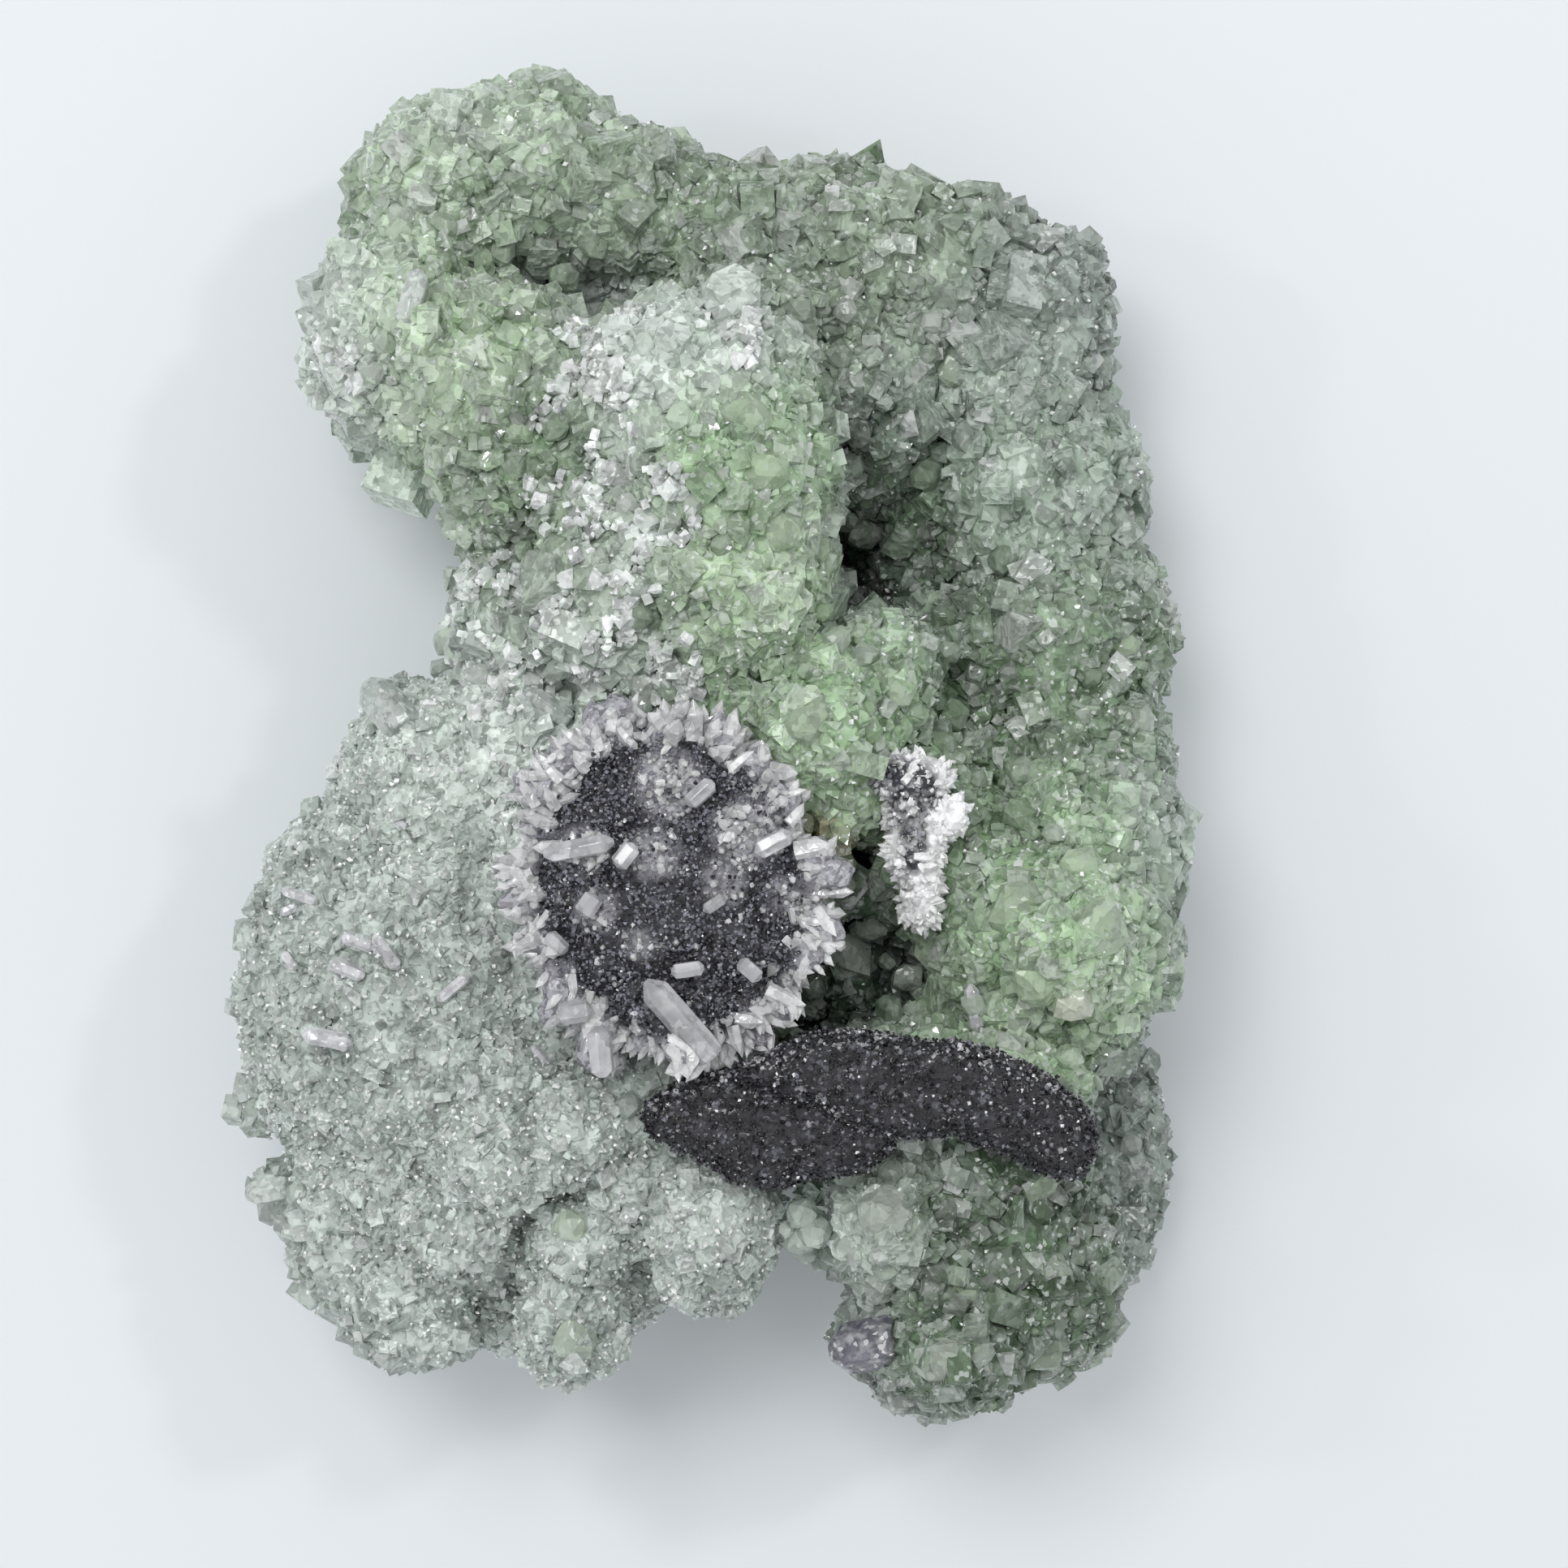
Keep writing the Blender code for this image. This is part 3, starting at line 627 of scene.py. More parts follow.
def inside(
    points: np.ndarray, centre: tuple[float, float], radii: tuple[float, float], turn: float = 0.0
) -> np.ndarray:
    """How deep points are in an upright elliptic column: 1 in the middle, 0 at its edge.

    Args:
        points: Points in millimetres.
        centre: Its plan centre, in the lobes' own coordinates.
        radii: Its radii.
        turn: Its turn about Z, in degrees.

    Returns:
        One number a point, negative outside.
    """
    away = (points - SHIFT)[:, :2] - np.array(centre)
    cos, sin = math.cos(math.radians(turn)), math.sin(math.radians(turn))
    x, y = away[:, 0] * cos + away[:, 1] * sin, away[:, 1] * cos - away[:, 0] * sin
    return 1 - np.linalg.norm(np.stack([x, y], 1) / np.array(radii), axis=1)


def select_only(chosen: list[bpy.types.Object]) -> None:
    """Selects some objects alone and makes the first one active.

    Args:
        chosen: The objects.
    """
    bpy.ops.object.select_all(action="DESELECT")
    for obj in chosen:
        obj.select_set(True)
    bpy.context.view_layer.objects.active = chosen[0]


def copy_of(source: bpy.types.Object, name: str) -> bpy.types.Object:
    """Copies an object that stands unturned at the origin, with a mesh of its own.

    Args:
        source: The object.
        name: Name of the copy.

    Returns:
        The copy.
    """
    copy = bpy.data.objects.new(name, source.data.copy())
    bpy.context.scene.collection.objects.link(copy)
    return copy


def remesh(obj: bpy.types.Object, voxel: float) -> None:
    """Evens an object's mesh out to small quads.

    Args:
        obj: The object.
        voxel: Size of the quads, in millimetres.
    """
    select_only([obj])
    bpy.ops.object.modifier_add(type="REMESH")
    grown = obj.modifiers[-1]
    grown.mode = "VOXEL"
    grown.voxel_size = voxel * MM
    bpy.ops.object.modifier_apply(modifier=grown.name)


def node_copy(node: str, name: str, voxel: float, ease: int) -> bpy.types.Object:
    """Copies a node's solid and evens its mesh out to small quads.

    Args:
        node: Name of the node.
        name: Name of the copy.
        voxel: Size of the quads, in millimetres.
        ease: How many times the mesh is smoothed.

    Returns:
        The copy, with its modifiers applied.
    """
    copy = copy_of(frame["nodes"][node], name)
    copy.data.materials.clear()
    bm = bmesh.new()
    bm.from_mesh(copy.data)
    bmesh.ops.remove_doubles(bm, verts=bm.verts, dist=1e-6)
    bm.to_mesh(copy.data)
    bm.free()
    remesh(copy, voxel)
    bpy.ops.object.modifier_add(type="SMOOTH")
    copy.modifiers[-1].iterations = ease
    bpy.ops.object.modifier_apply(modifier=copy.modifiers[-1].name)
    return copy


def dress(skin: bpy.types.Object, points: np.ndarray, tints: np.ndarray, finish: CrystalFinish) -> None:
    """Gives a node's copy its final surface, its colours and its finish.

    Args:
        skin: The copy.
        points: Final place of each vertex, in millimetres.
        tints: Linear colour of each vertex.
        finish: Its finish.
    """
    skin.data.vertices.foreach_set("co", (points * MM).astype(np.float32).ravel())
    skin.data.shade_smooth()
    write_tint(skin.data, tints)
    skin.data.materials.append(finish.build())


def tree_of(obj: bpy.types.Object) -> BVHTree:
    """Search tree in metres over the surface of an object that stands unturned at the origin."""
    return BVHTree.FromPolygons([v.co for v in obj.data.vertices], [p.vertices for p in obj.data.polygons])


def overhead(x: float, y: float) -> Vector:
    """Point in metres high above a plan place that is given in the lobes' own millimetres."""
    return Vector((x + SHIFT[0], y + SHIFT[1], OVERHEAD)) * MM


def below(ground: BVHTree, above: Vector) -> Vector | None:
    """Point of a surface straight below another point, both in metres, or None where there is none."""
    return ground.ray_cast(above, Vector((0, 0, -1)))[0]


def points_of(obj: bpy.types.Object) -> tuple[np.ndarray, np.ndarray]:
    """Vertices of an object in millimetres, and their normals.

    Args:
        obj: The object, which stands unturned at the origin.

    Returns:
        Points and unit normals, one a row.
    """
    count = len(obj.data.vertices)
    points, normals = np.empty(count * 3, np.float32), np.empty(count * 3, np.float32)
    obj.data.vertices.foreach_get("co", points)
    obj.data.vertices.foreach_get("normal", normals)
    return points.reshape(-1, 3).astype(float) / MM, normals.reshape(-1, 3).astype(float)


def cell_bumps(points: np.ndarray, cell: float, seed: int) -> np.ndarray:
    """Height of rounded bumps, one in each cell of a jittered grid.

    Args:
        points: Points in millimetres.
        cell: Distance between bumps, in millimetres.
        seed: Seed of the jitter.

    Returns:
        0 in the creases to 1 on the bumps, one a point.
    """
    grid = points / cell
    base = np.floor(grid).astype(np.int64)
    nearest = np.full(len(points), 9.0)
    for step in itertools.product((-1, 0, 1), repeat=3):
        here = base + step
        x, y, z = (here * CELL_PRIMES).T
        mixed = x ^ y ^ z ^ seed
        jitter = np.stack([((mixed * key) >> 7) % JITTER_STEPS / JITTER_STEPS for key in JITTER_KEYS], 1)
        # Each bump stays in the middle 70% of its cell
        away = np.linalg.norm(grid - here - 0.15 - 0.7 * jitter, axis=1)
        nearest = np.minimum(nearest, away)
    reach = 0.85  # of a bump, over the distance between bumps
    return np.sqrt(np.clip(1 - (nearest / reach) ** 2, 0, 1))


@dataclass(frozen=True)
class Laid:
    """A single crystal that lies on a surface, seen from above from its root to its tip.

    Attributes:
        start: Plan place of its root end, in millimetres.
        end: Plan place of its tip.
        width: Its thickness.
        lift: How far its middle line is above the surface, over its half width.
        rise: How much higher the tip is than the root.
        hue: Its hue.
    """

    start: tuple[float, float]
    end: tuple[float, float]
    width: float
    lift: float = 0.6
    rise: float = 0.0
    hue: Hue = Hue.MILK


@dataclass
class Prism:
    """A six-sided quartz crystal, modelled once with its point and bevelled edges, then laid in copies.

    Attributes:
        twin: Whether it has a point at each end.
        shoulder: Height where the point starts, over half its length.
        tip: Width left at the tip.
        edge: Bevel of its edges, over its half width.
    """

    twin: bool
    shoulder: float = 0.74
    tip: float = 0.3
    edge: float = 0.06

    def model(self) -> bpy.types.Object:
        """Models the crystal along Z, 1 m in half width and in half length.

        Returns:
            The crystal.
        """
        bpy.ops.object.select_all(action="DESELECT")
        bpy.ops.mesh.primitive_cylinder_add(vertices=6, radius=1.0, depth=2 * self.shoulder)
        crystal = bpy.context.object
        bpy.ops.object.mode_set(mode="EDIT")
        bpy.ops.mesh.select_mode(type="FACE")
        for end in (1, -1):
            bm = bmesh.from_edit_mesh(crystal.data)
            bpy.ops.mesh.select_all(action="DESELECT")
            for face in bm.faces:
                face.select = face.normal.z * end > 0.9
            bmesh.update_edit_mesh(crystal.data)
            reach = 1.0 - self.shoulder if end == 1 or self.twin else 0.2
            bpy.ops.mesh.extrude_region_move(TRANSFORM_OT_translate={"value": (0.0, 0.0, end * reach)})
            small = self.tip if end == 1 or self.twin else 0.85
            bpy.ops.transform.resize(value=(small, small, 1.0))
        bpy.ops.object.mode_set(mode="OBJECT")
        bpy.ops.object.modifier_add(type="BEVEL")
        bevel = crystal.modifiers[-1]
        bevel.width, bevel.segments = self.edge, 1
        bpy.ops.object.modifier_apply(modifier=bevel.name)
        return crystal

    def lay(
        self, name: str, crystals: tuple[Laid, ...], ground: BVHTree, finish: CrystalFinish, seed: int
    ) -> None:
        """Lays copies of the crystal on a surface and joins them into one piece.

        Args:
            name: Name of the piece.
            crystals: Where each copy lies.
            ground: Search tree of the surface, in metres.
            finish: Their finish.
            seed: Seed of their small irregularities.
        """
        rng = np.random.default_rng(seed)
        master = self.model()
        copies = []
        for crystal in crystals:
            ends = []
            for spot in (crystal.start, crystal.end):
                above = overhead(*spot)
                hit = below(ground, above)
                ends.append(np.array([*(above / MM)[:2], hit.z / MM if hit else EDGE_HEIGHT]))
            level = max(ends[0][2], ends[1][2]) + crystal.lift * crystal.width / 2
            ends[0][2], ends[1][2] = level, level + crystal.rise
            along = ends[1] - ends[0]
            length = np.linalg.norm(along)
            turn = turned_to((along / length)[None], rng.uniform(0, math.pi, 1))[0]
            copy = copy_of(master, name)
            corners, _ = points_of(copy)
            half = [crystal.width / 2 * rng.uniform(0.85, 1.0), crystal.width / 2, length / 2]
            moved = (corners * MM * half) @ turn.T + (ends[0] + ends[1]) / 2
            copy.data.vertices.foreach_set("co", (moved * MM).astype(np.float32).ravel())
            write_tint(copy.data, rng.uniform(0.7, 1.15, (len(moved), 1)) * linear(crystal.hue))
            copies.append(copy)
        bpy.data.objects.remove(master)
        select_only(copies)
        bpy.ops.object.join()
        piece = copies[0]
        piece.data.materials.append(finish.build())
        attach(piece, "root")
        log.info("%s: %d crystals, %d faces", name, len(crystals), len(piece.data.polygons))


@dataclass(frozen=True)
class Zone:
    """A part of the crust with grains of its own.

    Attributes:
        name: Name of its piece.
        spacing: Distance between its grains, in millimetres.
        swell: Size of the grains over half their spacing.
        spread: How unequal the grains are.
        blocks: Share of cut cubes; the rest are irregular.
    """

    name: str
    spacing: float
    swell: float
    spread: float
    blocks: float


UPPER = Zone("sugar_upper", 1.3, 1.3, 0.38, 0.45)
LOWER = Zone("sugar_lower", 1.22, 1.3, 0.4, 0.45)
PILLOW = Zone("sugar_pillow", 0.92, 1.25, 0.34, 0.5)
# Plan centre and radii of the pillow's two lobes, and where the upper zone starts, in millimetres
PILLOW_LOBES = (((-25, -20), (21, 29)), ((-14, -45), (22, 15)))
UPPER_FROM = 3

# Clear crystals that stand out of the crust: plan place and radius, in millimetres
STANDOUTS = (
    (12.1, -19.0, 2.8), (8.3, -22.1, 1.8), (16.0, -23.6, 1.4), (18.3, -24.9, 1.6), (19.6, -18.4, 2.0),
    (21.9, 33.5, 1.9), (19.6, 24.4, 0.9), (33.4, 15.9, 1.0), (-22.4, 9.0, 2.0), (-22.8, 31.0, 2.6),
    (-12.2, -42.1, 2.0), (-11.9, -52.2, 2.2), (15.0, -40.5, 3.2), (20.2, -53.2, 3.0), (28.9, -53.2, 2.6),
    (22.4, -48.0, 1.6), (28.5, -38.0, 2.2), (29.8, -46.4, 2.4), (27.0, -14.8, 3.0), (33.2, -16.1, 3.0),
    (28.0, -20.6, 2.6), (31.5, -22.0, 2.4), (32.0, -11.0, 2.2), (36.5, -6.8, 1.2), (8.5, 2.0, 3.0),
    (16.0, 5.0, 2.4), (4.6, 23.0, 2.6), (5.6, 18.0, 2.8), (3.0, 28.0, 3.0), (-17.0, 27.5, 2.2),
    (-26.0, 40.0, 2.0), (37.0, 9.0, 1.8), (38.0, 2.0, 1.8), (35.0, 27.0, 1.6),
)
NEEDLES = (
    Laid((-37.8, -12.9), (-34.6, -14.0), 1.2), Laid((-38.0, -15.0), (-36.4, -14.3), 1.0),
    Laid((-32.2, -16.9), (-29.4, -17.9), 1.3), Laid((-29.4, -16.8), (-27.2, -19.8), 1.3),
    Laid((-33.2, -19.1), (-30.2, -20.4), 1.4), Laid((-37.8, -18.4), (-36.6, -20.0), 0.9),
    Laid((-35.6, -25.4), (-31.2, -26.3), 1.6), Laid((-21.0, -20.2), (-23.7, -22.5), 1.1),
    Laid((-28.6, -6.0), (-26.6, -7.5), 1.0), Laid((-15.6, -26.4), (-14.0, -28.3), 1.0),
    Laid((9.6, -42.2), (12.6, -45.6), 1.6), Laid((-26.5, 36.0), (-25.2, 41.0), 2.2, -0.2, -0.8, Hue.ICE),
    Laid((23.2, -25.2), (22.6, -21.0), 1.5), Laid((13.6, -12.2), (11.6, -14.6), 1.4),
)
BIG_CRYSTALS = (
    Laid((-26.6, 0.8), (-30.6, 5.4), 3.8, -0.4, -2.5, Hue.MIST),
    Laid((17.0, -51.8), (10.6, -53.4), 5.0, -0.5, -2.5, Hue.DUST),
    Laid((-38.0, -40.0), (-42.4, -40.9), 2.6, 0.0, -1.0, Hue.ICE),
    Laid((-12.0, 1.6), (-16.4, 4.6), 2.2, 0.0, 0.0, Hue.MIST),
)
# Where white quartz grew on the column's left flank: plan place and reach, in millimetres
QUARTZ_PATCHES = (
    (-9.7, 36.3, 4.5), (-10.4, 31.0, 4.6), (-8.3, 25.8, 4.2), (-12.5, 21.0, 4.2), (-7.6, 16.0, 4.8),
    (-10.4, 10.4, 5.0), (-3.4, 6.2, 3.4), (-18.8, 14.0, 3.4), (-21.8, 9.8, 3.0), (-2.0, 18.5, 2.0),
    (-16.0, 5.4, 3.6), (2.0, 35.0, 3.0), (-3.8, 22.0, 2.4), (-14.5, 28.5, 1.8), (-31.5, 33.0, 2.2),
)


@dataclass
class Crust:
    """The green fluorite body and every grain that grew on it.

    Attributes:
        skin_voxel: Mesh size of the body under the grains.
        back_height: Height up to which the broken back stays bare.
        rock_height: Height up to which it is all stone.
        fade: Height over which the bare back gives way to the crust.
        lump: Distance between the rounded lumps of the body.
        lump_height: Their height.
        bump: Distance between the small bumps on them.
        bump_height: Their height.
        sink: How far the creases lie under the solid's surface.
        stone: Size of the darker spots in the stone.
        patch: Size of the small pale patches in the crust's colour.
        clearance: How far grains stay off the quartz pieces.
        dust_spacing: Distance between the places where a white speck may lie.
        dust_radii: Least and largest radius of the specks.
        clear_spacing: Distance between the places for smaller clear crystals.
        clear_radii: Least and largest radius of those.
        band_spacing: Distance between the places for the band's crystals.
        band_crease: Distance between the gaps that part the band's strands.
        band_widths: Least and largest half width of the band's crystals.
        band_low: Height under which the band doesn't grow.
        covers: Search trees of the quartz pieces, under which no grain grows.
    """

    skin_voxel: float = 0.85
    back_height: float = 1.3
    rock_height: float = 0.2
    fade: float = 2.0
    lump: float = 5.2
    lump_height: float = 1.3
    bump: float = 1.7
    bump_height: float = 0.4
    sink: float = 0.85
    stone: float = 3.2
    patch: float = 2.1
    clearance: float = 1.0
    dust_spacing: float = 0.9
    dust_radii: tuple[float, float] = (0.1, 0.24)
    clear_spacing: float = 3.6
    clear_radii: tuple[float, float] = (0.8, 1.7)
    band_spacing: float = 0.85
    band_crease: float = 4.4
    band_widths: tuple[float, float] = (0.34, 0.7)
    band_low: float = 16.0
    covers: list[BVHTree] = field(default_factory=list)

    def build(self) -> None:
        """Builds the body and its coat of crystals."""
        self.body()
        self.coat(UPPER, FLUORITE_GRAIN)
        self.coat(LOWER, FLUORITE_GRAIN)
        self.coat(PILLOW, FLUORITE_FINE)
        self.glints()
        self.lumps()
        self.band()
        ground = tree_of(self.surface)
        Prism(twin=True).lay("quartz_needles", NEEDLES, ground, QUARTZ, 4)
        Prism(twin=False, shoulder=0.6, tip=0.45).lay("big_crystals", BIG_CRYSTALS, ground, QUARTZ, 6)

    def body(self) -> None:
        """Builds the cloudy body with rounded lumps, in place of its plain solid."""
        body = node_copy("fluorite_crust", "fluorite_body", self.skin_voxel, 3)
        points, normals = points_of(body)
        lift = self.lump_height * cell_bumps(points, self.lump, 11)
        lift += self.bump_height * cell_bumps(points, self.bump, 12)
        lift -= self.sink
        lift *= np.clip((points[:, 2] - self.back_height) / self.fade, 0, 1)
        moved = points + normals * lift[:, None]
        moved[:, 2] = np.maximum(moved[:, 2], 0.0)
        # The body's colour carries the painted shade and painted highlight of tones()
        colours = 0.9 * self.tones(moved)
        rock = np.clip(1 - (points[:, 2] - self.rock_height) / self.fade, 0, 1)[:, None]
        spot = cell_bumps(points, self.stone, 13)[:, None]
        stone = spot * linear(Hue.ROCK) + (1 - spot) * linear(Hue.PALE_ROCK)
        dress(body, moved, colours * (1 - rock) + rock * stone, FLUORITE_BODY)
        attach(body, "root")
        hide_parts("fluorite_crust")
        self.surface = body
        log.info("fluorite_body: %d faces", len(body.data.polygons))

    def tones(self, points: np.ndarray) -> np.ndarray:
        """Colour of the crust with painted light: painted shade, deep and green, in the creases between the
        lumps, and a painted highlight, pale, on their tops.

        Args:
            points: Points in millimetres.

        Returns:
            Linear colours, one a row.
        """
        own = crust_colour(points)
        # Height on the lumps, where the painted highlight goes, plus random pale patches
        top = 0.7 * cell_bumps(points, self.lump, 11) + 0.3 * cell_bumps(points, self.patch, 14)
        top = top[:, None] ** 1.4
        painted_highlight = 0.42 * own.mean(1, keepdims=True) * np.array(linear(Hue.ICE))
        # Painted shade: creases darker and deeper green; painted highlight: lump tops paler
        return (1 - top) * 0.85 * own**2.2 + top * (0.9 * own + painted_highlight)

    def seeds(self, spacing: float) -> tuple[np.ndarray, np.ndarray]:
        """Evenly spaced points on the body, but not on its back or in the pockets.

        Args:
            spacing: Distance between the points, in millimetres.

        Returns:
            Points in millimetres and normals.
        """
        twin = copy_of(self.surface, "seeds")
        remesh(twin, spacing)
        points, normals = points_of(twin)
        bpy.data.objects.remove(twin)
        keep = points[:, 2] > self.back_height
        free = [
            all(cover.find_nearest(Vector(p) * MM, self.clearance * MM)[0] is None for cover in self.covers)
            for p in points[keep]
        ]
        keep[keep] = free
        return points[keep], normals[keep]

    def share_of(self, zone: Zone, points: np.ndarray) -> np.ndarray:
        """1 in a zone, 0 away from it.

        Args:
            zone: The zone.
            points: Points in millimetres.

        Returns:
            One number a point.
        """
        main, low = (inside(points, centre, radii) for centre, radii in PILLOW_LOBES)
        pillow = np.clip(np.maximum(main, low) * 6, 0, 1)
        if zone is PILLOW:
            return pillow
        above = points[:, 1] > UPPER_FROM
        return (1 - pillow) * (above if zone is UPPER else ~above)

    def coat(self, zone: Zone, finish: CrystalFinish) -> None:
        """Covers one zone of the body with grains, sunk into it about half way.

        Args:
            zone: The zone.
            finish: Finish of the grains.
        """
        rng = np.random.default_rng(len(zone.name) + 20)
        seeds, normals = self.seeds(zone.spacing)
        mine = self.share_of(zone, seeds) > rng.uniform(0.2, 0.8, len(seeds))
        seeds, normals = seeds[mine], normals[mine]
        radius = 0.5 * zone.spacing * zone.swell * np.exp(rng.normal(0, zone.spread, len(seeds)))
        sizes = radius[:, None] * rng.uniform(0.75, 1.25, (len(seeds), 3))
        places = seeds + rng.normal(0, 0.17 * zone.spacing, seeds.shape)
        places += normals * (radius * rng.uniform(-0.55, 0.1, len(seeds)))[:, None]
        places[:, 2] = np.maximum(places[:, 2], radius * 1.3 + 0.1)
        # The grains take the crust colour with its painted shade and painted highlight
        tints = varied(self.tones(places), rng, 0.15)
        axes = random_directions(rng, len(seeds))
        blocks = rng.uniform(size=len(seeds)) < zone.blocks
        sets = [
            Grains(form, places[rows], axes[rows], sizes[rows], tints[rows], 5)
            for form, rows in ((Form.SHARD, ~blocks), (Form.BLOCK, blocks))
        ]
        piece_from(zone.name, sets, finish)

    def glints(self) -> None:
        """Dusts the crust with tiny white crystals, partly quartz dust and partly painted glints, most of
        them on the pillow.
        """
        rng = np.random.default_rng(27)
        seeds, normals = self.seeds(self.dust_spacing)
        share = 0.07 + 0.2 * self.share_of(PILLOW, seeds)
        pick = (rng.uniform(size=len(seeds)) < share) & (seeds[:, 2] > 4)
        seeds, normals = seeds[pick], normals[pick]
        radius = rng.uniform(*self.dust_radii, len(seeds))
        places = seeds + normals * rng.uniform(0.3, 0.8, (len(seeds), 1))
        sizes = radius[:, None] * rng.uniform(0.7, 1.4, (len(seeds), 3))
        # Pure white: partly quartz dust, partly painted glints
        tints = rng.uniform(0.75, 1.0, (len(seeds), 1)) * linear(Hue.GLINT)
        dust = Grains(Form.SPECK, places, random_directions(rng, len(seeds)), sizes, tints, 28)
        piece_from("quartz_dust_and_glints", [dust], QUARTZ_SNOW)

    def lumps(self) -> None:
        """Sets the larger clear crystals, the listed ones and smaller ones between them."""
        rng = np.random.default_rng(9)
        ground = tree_of(self.surface)
        places, radii = [], []
        for x, y, radius in STANDOUTS:
            hit = below(ground, overhead(x, y))
            if hit:
                places.append(np.array(hit / MM) - [0, 0, 0.35 * radius])
                radii.append(radius)
        seeds, normals = self.seeds(self.clear_spacing)
        pick = (self.share_of(PILLOW, seeds) < 0.5) & (rng.uniform(size=len(seeds)) < 0.45)
        small = rng.uniform(*self.clear_radii, pick.sum())
        places = np.concatenate([places, seeds[pick] - 0.1 * small[:, None] * normals[pick]])
        radii = np.concatenate([radii, small])
        places[:, 2] = np.maximum(places[:, 2], radii * 1.1 + 0.1)
        sizes = radii[:, None] * rng.uniform(0.75, 1.05, (len(radii), 3))
        paler = np.where(np.arange(len(radii)) < len(STANDOUTS), 0.65, 0.15)[:, None]
        # The lumps take the crust colour with its painted shade and painted highlight
        tints = varied(self.tones(places) * (1 - paler) + paler * linear(Hue.PALE_GREEN), rng, 0.1)
        lumps = Grains(Form.LUMP, places, random_directions(rng, len(radii)), sizes, tints, 3)
        piece_from("clear_lumps", [lumps], FLUORITE_CLEAR)

    def band(self) -> None:
        """Grows the white quartz in patches down the column's left flank."""
        rng = np.random.default_rng(23)
        seeds, normals = self.seeds(self.band_spacing)
        share = np.zeros(len(seeds))
        for x, y, reach in QUARTZ_PATCHES:
            share = np.maximum(share, np.clip(inside(seeds, (x, y), (reach, reach)) * 3, 0, 1))
        share *= 0.12 + 0.88 * (cell_bumps(seeds, self.band_crease, 24) < 0.82)
        pick = share * 0.9 > rng.uniform(size=len(seeds))
        pick &= (seeds[:, 2] > self.band_low) & (normals[:, 2] > -0.3)
        seeds, normals = seeds[pick], normals[pick]
        wide = rng.uniform(*self.band_widths, len(seeds))
        wide *= np.where(rng.uniform(size=len(seeds)) < 0.15, 1.6, 1.0)
        deep = wide * rng.uniform(0.6, 1.0, len(seeds))
        sizes = np.stack([wide, deep, wide * rng.uniform(0.9, 1.5, len(seeds))], 1)
        tints = varied(plain(Hue.ICE, len(seeds)) * 0.66, rng, 0.4, 3.5)
        axes = tilted(normals, rng, 0.8)
        places = seeds + normals * 0.6
        blocks = rng.uniform(size=len(seeds)) < 0.7
        sets = [
            Grains(form, places[rows], axes[rows], sizes[rows], tints[rows], 7)
            for form, rows in ((Form.TWIN_POINT, ~blocks), (Form.BLOCK, blocks))
        ]
        piece_from("quartz_band", sets, QUARTZ_SNOW)


# Pale crystal patches on the rosette's face: plan place, radius and how thick they grow
FACE_PATCHES = (
    (-3.4, -3.6, 3.6, 0.9), (-10.8, -9.2, 2.6, 0.8), (3.4, -7.6, 3.6, 1.0), (-4.6, -9.6, 2.6, 0.8),
    (-9.6, -14.4, 2.2, 0.8), (1.2, -11.8, 2.4, 0.6), (-6.0, -17.2, 1.6, 0.5), (6.6, -13.0, 2.0, 0.7),
)
ROSETTE_POINTS = (
    Laid((-14.0, -9.6), (-8.0, -8.5), 1.9, 0.9, 0.0, Hue.MILK), Laid((-3.2, -19.6), (-0.4, -19.2), 1.5, 0.9),
    Laid((-7.8, -10.6), (-6.3, -8.7), 1.7, 0.9), Laid((-1.8, -5.4), (0.4, -3.4), 1.8, 0.9),
    Laid((-10.8, -14.8), (-9.6, -13.0), 2.0, 0.9), Laid((-10.0, -22.8), (-13.0, -23.3), 2.2, 0.8),
    Laid((-9.4, -24.2), (-9.0, -28.6), 2.2, 0.8), Laid((-6.2, -28.8), (-9.0, -29.4), 1.8, 0.8),
    Laid((4.0, -9.4), (7.0, -7.8), 1.8, 0.9), Laid((-0.4, -14.4), (1.4, -13.2), 1.4, 0.8),
    Laid((2.6, -18.6), (4.4, -20.2), 1.5, 0.8), Laid((-12.2, -18.0), (-13.8, -16.4), 1.6, 0.8),
)
LONG_POINT = (Laid((0.6, -27.0), (-5.3, -20.2), 2.7, 1.0, 0.8, Hue.MILK),)


